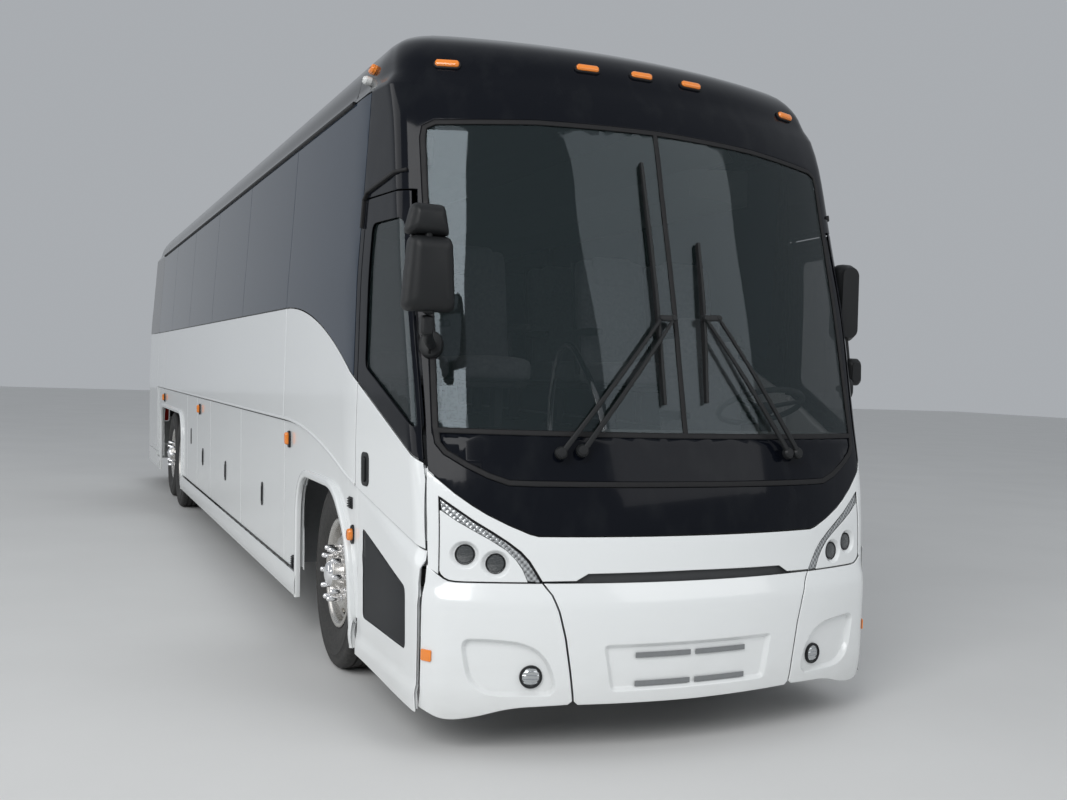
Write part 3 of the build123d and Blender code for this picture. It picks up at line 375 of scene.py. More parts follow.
def slopesOf(xs, ys):
    # Slopes that keep a curve through the rows free of overshoot
    steps = [(b - a) / (q - p) for p, q, a, b in zip(xs, xs[1:], ys, ys[1:])]
    slopes = [steps[0]]
    for before, after in zip(steps, steps[1:]):
        slopes.append(0.0 if before * after <= 0 else 2 * before * after / (before + after))
    return slopes + [steps[-1]]


skinUp = [row[0] for row in skinRows]
skinValues = [[row[k] for row in skinRows] for k in range(1, 7)]
skinSlopes = [slopesOf(skinUp, values) for values in skinValues]


@lru_cache(maxsize=None)
def rowAt(v):
    v = min(max(v, skinUp[0]), skinUp[-1])
    k = max(i for i in range(len(skinUp) - 1) if skinUp[i] <= v)
    width = skinUp[k + 1] - skinUp[k]
    t = (v - skinUp[k]) / width
    a, b, c, d = 2 * t**3 - 3 * t**2 + 1, t**3 - 2 * t**2 + t, 3 * t**2 - 2 * t**3, t**3 - t**2
    return [
        a * ys[k] + b * width * m[k] + c * ys[k + 1] + d * width * m[k + 1]
        for ys, m in zip(skinValues, skinSlopes)
    ]


@lru_cache(maxsize=None)
def sectionAt(v):
    # A level cut of the skin: face arc, nose corner, tapering side, straight side, tail corner, rear
    z, front, half, corner, rear, tailCorner = rowAt(v)
    noseX = body["nose"] - front
    meet = half
    for _ in range(20):
        cornerX = noseX - meet * meet / (2 * body["faceCurve"])
        startX = min(body["taperStart"], cornerX - corner - 0.02)
        meet = half - body["taper"] * (cornerX - startX)
    sag = noseX - cornerX
    arc = (sag * sag + meet * meet) / (2 * sag)
    centreX = noseX - arc
    dx, dy = startX - cornerX, half - meet
    run = hypot(dx, dy)
    dx, dy = dx / run, dy / run
    wx, wy = cornerX - dy * corner - centreX, meet + dx * corner
    along = wx * dx + wy * dy
    t = -along - sqrt(max(along * along - (wx * wx + wy * wy - (arc - corner) ** 2), 0))
    qx, qy = centreX + wx + dx * t, wy + dy * t
    start = atan2(qy, qx - centreX)
    stop = atan2(-dx, dy)
    endX, endY = qx + dy * corner, qy - dx * corner
    tailX = body["tail"] + rear
    cut = {
        "z": z, "half": half, "corner": corner, "arc": arc, "centreX": centreX, "q": (qx, qy),
        "start": start, "stop": stop, "end": (endX, endY), "way": (dx, dy), "startX": startX,
        "tailX": tailX, "tailCorner": tailCorner,
    }
    lengths = [
        arc * start, corner * (stop - start), hypot(startX - endX, half - endY),
        startX - tailX - tailCorner, tailCorner * pi / 2, half - tailCorner,
    ]
    ends = []
    for length in lengths:
        ends.append(length + (ends[-1] if ends else 0))
    cut["ends"] = ends
    return cut


def skinAt(u, v, out=0.0):
    # The place u along a level cut from the nose's middle, to the left if positive, v up the skin
    cut = sectionAt(round(v, 5))
    far, side = abs(u), (1 if u >= 0 else -1)
    ends = cut["ends"]
    if far <= ends[0]:
        angle = far / cut["arc"]
        x, y = cut["centreX"] + cut["arc"] * cos(angle), cut["arc"] * sin(angle)
        nx, ny = cos(angle), sin(angle)
    elif far <= ends[1]:
        angle = cut["start"] + (far - ends[0]) / cut["corner"]
        nx, ny = cos(angle), sin(angle)
        x, y = cut["q"][0] + cut["corner"] * nx, cut["q"][1] + cut["corner"] * ny
    elif far <= ends[2]:
        dx, dy = cut["way"]
        x, y = cut["end"][0] + dx * (far - ends[1]), cut["end"][1] + dy * (far - ends[1])
        nx, ny = dy, -dx
    elif far <= ends[3]:
        x, y, nx, ny = cut["startX"] - (far - ends[2]), cut["half"], 0, 1
    elif far <= ends[4]:
        angle = (far - ends[3]) / cut["tailCorner"]
        nx, ny = -sin(angle), cos(angle)
        x = cut["tailX"] + cut["tailCorner"] * (1 + nx)
        y = cut["half"] - cut["tailCorner"] * (1 - ny)
    else:
        x, y, nx, ny = cut["tailX"], max(ends[5] - far, 0), -1, 0
    return Vector((x + nx * out, side * (y + ny * out), cut["z"]))


def upAt(z):
    # Distance up the skin at a height
    if z <= body["gutter"]:
        return z
    low, high = body["gutter"], skinUp[-1]
    for _ in range(30):
        mid = (low + high) / 2
        low, high = (mid, high) if rowAt(mid)[0] < z else (low, mid)
    return low


def fromFront(y, z):
    cut = sectionAt(round(upAt(z), 5))
    far = abs(y)
    if far <= cut["arc"] * sin(cut["start"]):
        u = cut["arc"] * asin(far / cut["arc"])
    elif far <= cut["end"][1]:
        angle = asin(min((far - cut["q"][1]) / cut["corner"], 1))
        u = cut["ends"][0] + cut["corner"] * (angle - cut["start"])
    else:
        u = cut["ends"][1] + (far - cut["end"][1]) / max(cut["way"][1], 1e-6)
    return (u if y >= 0 else -u), upAt(z)


def fromSide(x, z):
    cut = sectionAt(round(upAt(z), 5))
    faceX = cut["q"][0] + cut["corner"] * cos(cut["start"])
    if x >= faceX:
        u = cut["arc"] * acos(min((x - cut["centreX"]) / cut["arc"], 1))
    elif x >= cut["end"][0]:
        u = cut["ends"][0] + cut["corner"] * (acos((x - cut["q"][0]) / cut["corner"]) - cut["start"])
    elif x >= cut["startX"]:
        u = cut["ends"][1] + (cut["end"][0] - x) / -cut["way"][0]
    elif x >= cut["tailX"] + cut["tailCorner"]:
        u = cut["ends"][2] + cut["startX"] - x
    else:
        sine = min((cut["tailX"] + cut["tailCorner"] - x) / cut["tailCorner"], 1)
        u = cut["ends"][3] + cut["tailCorner"] * asin(sine)
    return u, upAt(z)


def fromRear(y, z):
    cut = sectionAt(round(upAt(z), 5))
    far = abs(y)
    flat = cut["half"] - cut["tailCorner"]
    u = cut["ends"][5] - far
    if far > flat:
        u = cut["ends"][4] - cut["tailCorner"] * asin(min((far - flat) / cut["tailCorner"], 1))
    return u, upAt(z)


def onSkin(point, side):
    kind, a, z = point
    u, v = {"front": fromFront, "side": fromSide, "rear": fromRear}[kind.lstrip("-")](a, z)
    return (-side * u if kind[0] == "-" else side * u), v


def mirrored(points):
    # The same outline on the other side, in the order that goes on from it
    return [(kind[1:] if kind[0] == "-" else "-" + kind, a, z) for kind, a, z in reversed(points)]


def both(half):
    # A half outline that starts and ends on the middle, with its mirror image
    return half + mirrored(half)[1:-1]


closest = 2e-4


def spread(outline, side, step):
    # The outline's points on the skin, with more along each straight edge
    points = []
    for first, second in zip(outline, outline[1:] + outline[:1]):
        if first[0] != second[0]:
            a, b = onSkin(first, side), onSkin(second, side)
            count = max(1, ceil(hypot(b[0] - a[0], b[1] - a[1]) / step))
            points += [tuple(p + (q - p) * k / count for p, q in zip(a, b)) for k in range(count)]
        else:
            count = max(1, ceil(hypot(second[1] - first[1], second[2] - first[2]) / step))
            for k in range(count):
                t = k / count
                mid = (first[0], first[1] + (second[1] - first[1]) * t, first[2] + (second[2] - first[2]) * t)
                points.append(onSkin(mid, side))
    return [spot for k, spot in enumerate(points)
            if hypot(spot[0] - points[k - 1][0], spot[1] - points[k - 1][1]) > closest]


def laid(flat, loop, level):
    return [flat.verts.new((u, v, level)) for u, v in loop]


def joined(flat, first, second):
    # A ring of quads between two loops of the same count
    for k in range(len(first)):
        n = (k + 1) % len(first)
        flat.faces.new((first[k], first[n], second[n], second[k]))


def fillInside(flat, loops):
    # Fills the area between loops of vertices
    edges = []
    for verts in loops:
        edges += [flat.edges.get((a, b)) or flat.edges.new((a, b)) for a, b in zip(verts, verts[1:] + verts[:1])]
    filled = bmesh.ops.triangle_fill(flat, use_beauty=True, use_dissolve=False, edges=edges)
    for item in filled["geom"]:
        if isinstance(item, bmesh.types.BMFace):
            item.material_index = 1


def shrunk(loop, amount):
    # A loop moved inwards by its own edge normals
    area = sum(a[0] * b[1] - b[0] * a[1] for a, b in zip(loop, loop[1:] + loop[:1]))
    turn = 2 * amount if area > 0 else -2 * amount
    moved = []
    for k, here in enumerate(loop):
        back = (Vector(here) - Vector(loop[k - 1])).normalized()
        ahead = (Vector(loop[(k + 1) % len(loop)]) - Vector(here)).normalized()
        way = back + ahead
        scale = turn / max(way.length_squared, 1.2)
        moved.append((here[0] - way.y * scale, here[1] + way.x * scale))
    return moved


def cutAcross(flat, axis, cuts):
    normal = Vector((1, 0, 0)) if axis == 0 else Vector((0, 1, 0))
    for place in cuts:
        geometry = flat.verts[:] + flat.edges[:] + flat.faces[:]
        made = bmesh.ops.bisect_plane(flat, geom=geometry, dist=1e-5, plane_co=normal * place, plane_no=normal)
        for item in made["geom_cut"]:
            if isinstance(item, bmesh.types.BMEdge):
                item.seam = True


skinSections = [sectionAt(round(0.15 + 0.05 * k, 5)) for k in range(64)]
bends = [
    (min(cut["ends"][0] for cut in skinSections) - 0.03, max(cut["ends"][1] for cut in skinSections) + 0.03),
    (min(cut["ends"][3] for cut in skinSections), max(cut["ends"][4] for cut in skinSections)),
]


def cutsBetween(low, high, spacing, fine, zones):
    # Places for cuts, closer together where the skin bends
    cuts = [k * spacing for k in range(ceil(low / spacing), floor(high / spacing) + 1)]
    for first, last in zones:
        cuts = [place for place in cuts if not first < place < last]
        count = max(1, round((last - first) / fine))
        cuts += [first + (last - first) * k / count for k in range(count + 1)]
    return [place for place in cuts if low < place < high]


def asObject(name, mesh, material):
    mesh.materials.append(finishes[material])
    return added(name, mesh)


def panel(name, outline, material, side=1, holes=(), out=0.0, thick=0.02, bevel=0.003, step=0.08, grid=(0.12, 0.08),
          dents=(), halved=False):
    # A piece of the skin inside an outline, with thickness inwards and a rounded edge; dents are sunk areas.
    # A halved piece is mirrored later, so a modifier rounds its edge.
    flat = bmesh.new()
    edge = 0.0 if halved else bevel
    bounds = []
    for loop, way in [(spread(outline, side, step), 1)] + [(spread(hole, side, step), -1) for hole in holes]:
        verts = laid(flat, loop, -edge)
        if edge:
            for share, drop in ((0.3, 0.3), (1.0, 0.0)):
                nextVerts = laid(flat, shrunk(loop, way * edge * share), -edge * drop)
                joined(flat, verts, nextVerts)
                verts = nextVerts
        bounds.append(verts)
    floors = []
    for loop, run, depth in dents:
        rim = spread(loop, side, step)
        verts = laid(flat, rim, 0.0)
        bounds.append(verts)
        for share, drop in ((0.2, 0.08), (0.5, 0.5), (0.8, 0.92), (1.0, 1.0)):
            nextVerts = laid(flat, shrunk(rim, run * share), -depth * drop)
            joined(flat, verts, nextVerts)
            verts = nextVerts
        floors.append(verts)
    fillInside(flat, bounds)
    for verts in floors:
        fillInside(flat, [verts])
    flat.normal_update()
    for face in flat.faces:
        if face.normal.z < 0:
            face.normal_flip()
    us, vs = [vert.co[0] for vert in flat.verts], [vert.co[1] for vert in flat.verts]
    zones = [zone for low, high in bends for zone in ((low, high), (-high, -low))]
    cutAcross(flat, 0, cutsBetween(min(us), max(us), grid[0], 0.03, zones))
    cutAcross(flat, 1, cutsBetween(min(vs), max(vs), grid[1], 0.035, [(3.05, 3.70)]))
    filled = {face for face in flat.faces if face.material_index}
    edges = [item for item in flat.edges
             if not item.seam and len(item.link_faces) == 2 and filled.issuperset(item.link_faces)]
    verts = [item for item in flat.verts if not item.is_boundary and filled.issuperset(item.link_faces)]
    bmesh.ops.dissolve_limit(flat, angle_limit=0.01, use_dissolve_boundaries=False, verts=verts, edges=edges,
                             delimit={"SEAM"})
    for face in flat.faces:
        face.material_index = 0
    for vert in flat.verts:
        u, v = vert.co[0], vert.co[1]
        depth = out(skinAt(u, v)) if callable(out) else out
        vert.co = skinAt(u, v, depth + vert.co[2])
    mesh = bpy.data.meshes.new(name)
    flat.to_mesh(mesh)
    flat.free()
    mesh.shade_smooth()
    made = asObject(name, mesh, material)
    if thick:
        solid = made.modifiers.new("thickness", "SOLIDIFY")
        solid.thickness, solid.offset = thick, -1
    if bevel and halved:
        rounded = made.modifiers.new("edge", "BEVEL")
        rounded.width, rounded.segments, rounded.limit_method, rounded.angle_limit = bevel, 2, "ANGLE", radians(50)
    weigh = made.modifiers.new("shading", "WEIGHTED_NORMAL")
    weigh.keep_sharp = True
    return made


def coachPanel(name, outline, material, side=1, **settings):
    made = panel(name, outline, material, side, **settings)
    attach(made, "coach")
    return made


def rounding(before, here, after, radius, count, share=0.5):
    # The points of a curve that rounds the corner between two neighbours
    back, ahead = before - here, after - here
    reach = min(radius, back.length * share, ahead.length * share)
    first, last = here + back.normalized() * reach, here + ahead.normalized() * reach
    times = [k / count for k in range(count + 1)]
    return [first * (1 - t) ** 2 + here * 2 * t * (1 - t) + last * t * t for t in times]


def bent(points, radius, count=6):
    # Rounds the corners of an outline in its own plane
    spots = [Vector(point[1:]) for point in points]
    rounded = []
    for k, here in enumerate(spots):
        corner = rounding(spots[k - 1], here, spots[(k + 1) % len(spots)], radius, count)
        rounded += [(points[k][0], spot.x, spot.y) for spot in corner]
    return rounded


# Lines that sweep along the side

lines = {
    "belt": {"z": 2.03, "start": 3.74, "radius": 4.62, "slope": 0.41},
    "rub": {"z": 1.32, "start": 3.84, "radius": 7.0, "slope": 0.22},
}


def lineAt(name, x):
    line = lines[name]
    turn = line["slope"] / sqrt(1 + line["slope"] ** 2)
    end = line["start"] + line["radius"] * turn
    if x <= line["start"]:
        return line["z"]
    if x <= end:
        return line["z"] - line["radius"] + sqrt(line["radius"] ** 2 - (x - line["start"]) ** 2)
    return line["z"] - line["radius"] * (1 - sqrt(1 - turn * turn)) - line["slope"] * (x - end)


def along(name, start, stop, shift=0.0, count=24):
    return [("side", start + (stop - start) * k / count, lineAt(name, start + (stop - start) * k / count) + shift)
            for k in range(count + 1)]


def side(*points):
    return [("side", x, z) for x, z in points]


def front(*points):
    return [("front", y, z) for y, z in points]


places = {
    "tailSeam": -5.47,
    "firstSeam": 3.77,
    "bays": [(1.89, 3.77), (0.01, 1.89), (-1.04, 0.01)],
    "service": (-1.92, -1.04),
    "panes": [3.77, 1.89, 0.01, -1.87, -3.75, -5.63],
    "doorRear": 5.705,
    "doorTop": 2.50,
    "doorEdge": [(0.15, 6.572), (0.80, 6.572), (0.84, 6.590), (1.187, 6.548), (2.38, 6.212), (2.60, 6.146)],
    "sill": 0.42,
    "skirt": 0.27,
    "gap": 0.003,
}


def leanAt(z, shift=0.0):
    # The door's leading edge: upright at the foot, then leaning back with the windshield
    rows = places["doorEdge"]
    for (low, x0), (high, x1) in zip(rows, rows[1:]):
        if z <= high:
            return x0 + (x1 - x0) * (z - low) / (high - low) + shift
    return rows[-1][1] + shift


def leanMeets(name, shift=0.0):
    # Where a swept line meets the door's leaning edge
    low, high = 5.5, 6.6
    for _ in range(40):
        x = (low + high) / 2
        z = lineAt(name, x)
        low, high = (x, high) if x < leanAt(z, shift) else (low, x)
    return low


# Side panels

bodySides = {"Left": 1, "Right": -1}
sideStart = places["tailSeam"]
paneFront = 5.645
upperTop = 3.045


def eased(x, first, last):
    t = min(max((x - first) / (last - first), 0), 1)
    return t * t * (3 - 2 * t)


def lowerOut(point):
    # The panels under the rub line sit back from it, further towards the nose
    return -0.012 - 0.004 * eased(point.x, 3.9, 5.9)


def doorOut(point):
    # The foot of the door stands out under a ledge that widens towards the nose, and again under a low crease
    ahead = eased(point.x, 5.70, 6.55)
    ledge = (lineAt("rub", point.x) - 0.006 - point.z) / (0.02 + 0.045 * ahead)
    crease = (0.342 - (point.x - 5.67) * 0.045 - point.z) / 0.035
    return -0.014 + 0.026 * ahead * min(max(ledge, 0), 1) + 0.010 * min(max(crease, 0), 1)


def doorGlassOut(point):
    return doorOut(point) - 0.004


def sillOut(point):
    return 0.004 + 0.012 * sin(pi * min(max((point.z - 0.262) / 0.16, 0), 1))


def paneOutline(x0, x1):
    gap = places["gap"]
    return along("belt", x0 + gap, x1 - gap, gap) + side((x1 - gap, upperTop), (x0 + gap, upperTop))


def windowOutline(x0, x1):
    low = along("belt", x0 + 0.045, x1 - 0.045, 0.075, 12)
    return low[:1] + bent(low[1:-1] + side((x1 - 0.045, upperTop - 0.06), (x0 + 0.045, upperTop - 0.06)), 0.05, 5)


def band(x0, x1):
    # Between the rub line and the belt
    lower = along("rub", x0, x1, 0.004)
    upper = along("belt", x0, x1, -0.004)
    return lower + upper[::-1]


arches = {
    "Front": side((4.26, places["skirt"]), (4.26, 1.022), (5.24, 1.022), (5.57, 0.78), (5.66, places["skirt"])),
    "Rear": side((-4.98, places["skirt"]), (-4.98, 1.085), (-2.42, 1.085), (-2.42, places["skirt"])),
}


def softened(points, radii, count=8):
    # An open line with its inner corners rounded
    line = [points[0]]
    for before, here, after, radius in zip(points, points[1:], points[2:], radii):
        corner = rounding(Vector(before[1:]), Vector(here[1:]), Vector(after[1:]), radius, count)
        line += [(here[0], spot.x, spot.y) for spot in corner]
    return line + [points[-1]]


archRadii = {"Front": (0.30, 0.16, 0.16), "Rear": (0.30, 0.30)}


def archLine(name, grow=0.0):
    # Grown outwards from the opening, from its rear foot to its front foot
    points = [Vector((x, z)) for _, x, z in arches[name]]
    grown = []
    for k, here in enumerate(points):
        before = points[max(k - 1, 0)]
        after = points[min(k + 1, len(points) - 1)]
        a = (here - before).normalized() if k else (after - here).normalized()
        b = (after - here).normalized() if k < len(points) - 1 else a
        left = Vector((-a.y, a.x)) + Vector((-b.y, b.x))
        scale = grow / max(left.length ** 2 / 2, 0.2)
        spot = here + left * scale
        grown.append(("side", spot.x, here.y if k in (0, len(points) - 1) else spot.y))
    return softened(grown, [r + grow * 0.5 for r in archRadii[name]])


def lowerPanel(x0, x1, arch=None, gap=0.004):
    # A panel under the rub line, with a wheel arch cut from its lower edge
    foot = places["sill"]
    low = side((x0 + gap, foot)) + (archLine(arch) if arch else []) + side((x1 - gap, foot))
    if arch:
        low = [(kind, x, max(z, foot)) for kind, x, z in low]
    top = along("rub", x0 + gap, x1 - gap, -0.006)
    return low + top[::-1]


for word, sign in bodySides.items():
    spans = list(zip([sideStart] + places["panes"][4::-1], places["panes"][4::-1])) + [(places["panes"][0], paneFront)]
    for number, (x0, x1) in enumerate(spans, 1):
        coachPanel(f"pane{word}{number}", paneOutline(x0, x1), "sideGlass", sign, thick=0.006, bevel=0.002)
    holes = [windowOutline(x0, x1) for x0, x1 in spans]
    frameOutline = along("belt", sideStart, paneFront) + side((paneFront, upperTop), (sideStart, upperTop))
    coachPanel(f"windowFrame{word}", frameOutline, "black", sign, holes=holes, out=-0.008, thick=0.035, bevel=0)
    coachPanel(f"beltPanelRear{word}", band(sideStart, places["firstSeam"] - 0.002), "white", sign, thick=0.04)
    for number, (x0, x1) in enumerate(places["bays"], 1):
        door = panel(f"luggageDoor{word}{number}", lowerPanel(x0, x1), "white", sign, out=lowerOut, thick=0.035)
        hinged = f"luggage_door_{word.lower()}_{number}"
        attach(door, hinged)
        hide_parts(hinged)
    coachPanel(f"servicePanel{word}", lowerPanel(*places["service"]), "white", sign, out=lowerOut, thick=0.035)
    for arch, x0, x1 in (("Rear", sideStart, places["service"][0]), ("Front", places["firstSeam"], places["doorRear"])):
        coachPanel(f"quarter{arch}{word}", lowerPanel(x0, x1, arch), "white", sign, out=lowerOut, thick=0.035)
    sills = [(-2.42, 4.26), (sideStart, -4.98), (5.66, places["doorRear"] - 0.004)]
    for number, (x0, x1) in enumerate(sills, 1):
        outline = side((x0, places["skirt"]), (x1, places["skirt"]), (x1, 0.414), (x0, 0.414))
        coachPanel(f"sill{word}{number}", outline, "white", sign, out=sillOut, thick=0.03, grid=(0.25, 0.02))
print("side panels made")


# Entry door on the right and the driver's panel on the left, with the same lines

def cabPanel(low, high, shift=0.0):
    # Between two swept lines or heights, from the door's rear edge to its leaning front edge
    x0 = places["doorRear"] + 0.003
    front = leanMeets(low[0], shift) if low[0] else leanAt(low[1], shift)
    back = leanMeets(high[0], shift) if high[0] else leanAt(high[1], shift)
    lower = along(low[0], x0, front, low[1], 12) if low[0] else side((x0, low[1]), (front, low[1]))
    upper = along(high[0], x0, back, high[1], 12) if high[0] else side((x0, high[1]), (back, high[1]))
    heights = [z for z, _ in places["doorEdge"] if lower[-1][2] + 0.01 < z < upper[-1][2] - 0.01]
    return lower + side(*[(leanAt(z, shift), z) for z in heights]) + upper[::-1]


def cabWindow():
    x0 = places["doorRear"] + 0.105
    low = along("belt", x0, leanMeets("belt", -0.055), 0.12, 10)
    return bent(low + side((leanAt(2.372, -0.032), 2.372), (x0, 2.372)), 0.05, 5)


cabShift = -0.007
doorGlass = bent(side((5.789, 0.441), (6.424, 0.421), (6.418, 0.698), (5.778, 0.882)), 0.03, 5)
for word, sign in bodySides.items():
    rider = "entry_door" if sign < 0 else "coach"
    lead = "door" if sign < 0 else "driver"
    upperLine = cabPanel(("belt", 0.004), (None, places["doorTop"]), cabShift)
    upper = panel(f"{lead}Upper", upperLine, "black", sign, [cabWindow()], thick=0.03)
    middleLine = cabPanel(("rub", 0.004), ("belt", -0.004), cabShift)
    middle = panel(f"{lead}Middle", middleLine, "white", sign, thick=0.04)
    foot = side((places["doorRear"] + 0.003, 0.244), (leanAt(0.176, cabShift), 0.176))
    lowerLine = foot + cabPanel((None, places["skirt"]), ("rub", -0.006), cabShift)[2:]
    holes = [doorGlass] if sign < 0 else []
    lower = panel(f"{lead}Lower", lowerLine, "white", sign, holes, out=doorOut, grid=(0.06, 0.02))
    window = panel(f"{lead}Window", cabWindow(), "doorGlass", sign, out=-0.012, thick=0.006, bevel=0)
    for piece in (upper, middle, lower, window):
        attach(piece, rider)
    if sign < 0:
        light = panel("doorLowerGlass", doorGlass, "lowGlass", sign, out=doorGlassOut, thick=0.006, bevel=0,
                      grid=(0.06, 0.02))
        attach(light, rider)
    frontBand = band(places["firstSeam"] + 0.002, places["doorRear"] - 0.003)
    coachPanel(f"beltPanelFront{word}", frontBand, "white", sign, thick=0.04)
    x0, x1 = paneFront + 0.004, places["doorRear"] - 0.004
    strip = side((x0, lineAt("belt", paneFront)), (x1, lineAt("belt", places["doorRear"])), (x1, 2.503), (x0, 2.503))
    coachPanel(f"cabPost{word}", strip, "black", sign, thick=0.04)
print("cab sides made")


# Nose, built as its left half and mirrored

def whole(made):
    # Adds the mirror image and joins it along the middle
    mesh = bmesh.new()
    mesh.from_mesh(made.data)
    for vert in mesh.verts:
        if abs(vert.co.y) < 0.013:
            vert.co.y = 0.0
    twin = bmesh.ops.duplicate(mesh, geom=mesh.verts[:] + mesh.edges[:] + mesh.faces[:])["geom"]
    for item in twin:
        if isinstance(item, bmesh.types.BMVert):
            item.co.y = -item.co.y
    faces = [item for item in twin if isinstance(item, bmesh.types.BMFace)]
    bmesh.ops.reverse_faces(mesh, faces=faces)
    bmesh.ops.remove_doubles(mesh, verts=[v for v in mesh.verts if v.co.y == 0], dist=0.002)
    mesh.to_mesh(made.data)
    mesh.free()
    made.data.shade_smooth()
    return made


maskTop = [
    (0.717, 0.954), (0.753, 0.963), (0.842, 1.001), (0.929, 1.045), (0.989, 1.083), (1.058, 1.134), (1.108, 1.179),
    (1.158, 1.224),
]
ledOuter = [
    (1.111, 1.114), (1.050, 1.069), (0.982, 1.020), (0.905, 0.972), (0.843, 0.931), (0.789, 0.889), (0.752, 0.848),
    (0.720, 0.796), (0.699, 0.760),
]
ledInner = [
    (1.112, 1.058), (1.051, 1.014), (0.983, 0.974), (0.913, 0.934), (0.851, 0.893), (0.811, 0.852), (0.783, 0.810),
    (0.762, 0.760),
]
splitSeam = [
    (0.697, 0.752), (0.663, 0.704), (0.635, 0.631), (0.606, 0.518), (0.582, 0.375), (0.562, 0.238), (0.580, 0.184),
]
surroundLow = [
    (0.746, 1.171), (0.837, 1.173), (0.924, 1.203), (1.010, 1.247), (1.095, 1.301), (1.127, 1.346), (1.135, 1.42),
]
surroundTop = [(1.128, 2.76), (1.115, 2.82), (1.06, 2.852), (0.6, 2.885), (0.0, 2.897)]
bottomLine = [(0.583, 0.223), (0.828, 0.212), (0.966, 0.169), (1.052, 0.155), (1.112, 0.162), (1.172, 0.197)]


def inward(points, shift):
    # A line of the surround moved towards the middle of the glass
    moved = []
    for k, (y, z) in enumerate(points):
        a, b = Vector(points[max(k - 1, 0)]), Vector(points[min(k + 1, len(points) - 1)])
        way = (b - a).normalized()
        moved.append((max(y - way.y * shift, 0), z + way.x * shift))
    return moved


def noseEdge(z):
    # Just ahead of the door's leaning edge
    return ("side", leanAt(z, 0.004), z)


surround = [(0.0, 1.173)] + surroundLow + surroundTop
inner = inward(surround, 0.026)
bandTop, glassFoot = 1.392, 1.418
bandLow = [point for point in inner if point[1] < bandTop - 0.01]
glassEdge = [point for point in inner if point[1] > glassFoot + 0.01]
sideY = 1.109

capOutline = both(
    front((0.0, 0.960), *[(y, z + 0.005) for y, z in maskTop])
    + [noseEdge(z) for z in (1.253, 1.5, 1.8, 2.1, 2.4, 2.506)]
    + side((paneFront, 2.506), (paneFront, 3.05), (5.18, 3.05), (5.18, 3.12), (5.18, 3.25), (5.18, 3.35), (5.18, 3.42),
           (5.18, 3.45), (5.18, 3.469), (5.26, 3.469))
)
cap = panel("bodyCap", capOutline, "black", holes=[both(front(*surround))], thick=0.03, bevel=0.004, grid=(0.08, 0.08))
for vert in cap.data.vertices:
    if vert.co.z > 3.46 and abs(vert.co.y) < 0.013:
        vert.co.y = 0.0
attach(cap, "coach")

glassHole = front((0.013, glassFoot), (sideY, glassFoot), *glassEdge[:-1], (0.013, 2.871))
bandHole = both(front(*bandLow) + front((sideY - 0.004, bandTop), (0.0, bandTop)))
sealHoles = [glassHole, mirrored(glassHole), bandHole]
coachPanel("windshieldSeal", both(front(*surround)), "rubber", holes=sealHoles, out=0.005, thick=0.025, bevel=0.006)
for word, sign in bodySides.items():
    coachPanel(f"windshield{word}", glassHole, "screen", sign, out=-0.002, thick=0.006, bevel=0, grid=(0.1, 0.1))
coachPanel("noseBand", bandHole, "black", thick=0.02, bevel=0)

lampOuterY = 1.119
maskOutline = (
    front((0.0, 0.955), *maskTop)
    + [noseEdge(1.245), noseEdge(1.0), noseEdge(0.832)]
    + front((1.162, 0.814), (lampOuterY + 0.003, 0.785), (lampOuterY + 0.003, 1.120), *ledOuter)
    + front((0.553, 0.762), (0.500, 0.793), (0.0, 0.798))
)
coachPanel("noseMask", both(maskOutline), "white", thick=0.03, bevel=0.004, grid=(0.06, 0.04))
print("nose made")


# Bumper

plateRecess = bent(front((-0.44, 0.488), (-0.40, 0.272), (0.40, 0.272), (0.44, 0.488)), 0.03, 4)
fogEdge = [
    (1.039, 0.488), (1.019, 0.519), (0.915, 0.518), (0.792, 0.505), (0.719, 0.472), (0.671, 0.415), (0.642, 0.338),
    (0.636, 0.291), (0.664, 0.262), (0.905, 0.263), (0.976, 0.292), (1.013, 0.348),
]
centreHalf = front((0.54, 0.222), *[(y - 0.004, z) for y, z in splitSeam[::-1][1:]])
centreOutline = both(front((0.0, 0.218)) + centreHalf + front((0.0, 0.752)))
coachPanel("bumperCentre", centreOutline, "white", thick=0.03, step=0.03, grid=(0.06, 0.04),
           dents=[(plateRecess, 0.024, 0.020)])

cornerOutline = (
    front(*[(y + 0.003, z) for y, z in splitSeam[1:-1]], (0.583, 0.223))
    + softened(front(*bottomLine), (0.10, 0.08, 0.05, 0.05), 5)[1:]
    + [noseEdge(0.27), noseEdge(0.55), noseEdge(0.822)]
    + front((1.128, 0.786), (1.103, 0.766), (1.083, 0.756), (1.056, 0.752), (1.02, 0.751), (0.700, 0.751))
)
for word, sign in bodySides.items():
    coachPanel(f"bumperCorner{word}", cornerOutline, "white", sign, thick=0.03, bevel=0.005, step=0.025,
               grid=(0.03, 0.03), dents=[(bent(front(*fogEdge), 0.04, 3), 0.020, 0.028)])

slotOutline = both(front((0.0, 0.745), (0.60, 0.745), (0.58, 0.80), (0.0, 0.805)))
coachPanel("bumperSlot", slotOutline, "shadowGap", out=-0.022, thick=0.01, bevel=0)
for level, z in (("Upper", 0.432), ("Lower", 0.305)):
    for word, sign in bodySides.items():
        points = [(0.012, z - 0.012), (0.285, z - 0.012), (0.285, z + 0.012), (0.012, z + 0.012)]
        coachPanel(f"plateBar{level}{word}", front(*points), "grey", sign, out=-0.010, thick=0.012, bevel=0.002)
print("bumper made")


# Roof, tail and their seams

def roofOutline(x0, x1):
    heights = (3.054, 3.12, 3.2, 3.3, 3.35, 3.4, 3.43, 3.46, 3.469)
    return [("side", x1, z) for z in heights] + [("side", x0, z) for z in reversed(heights)]


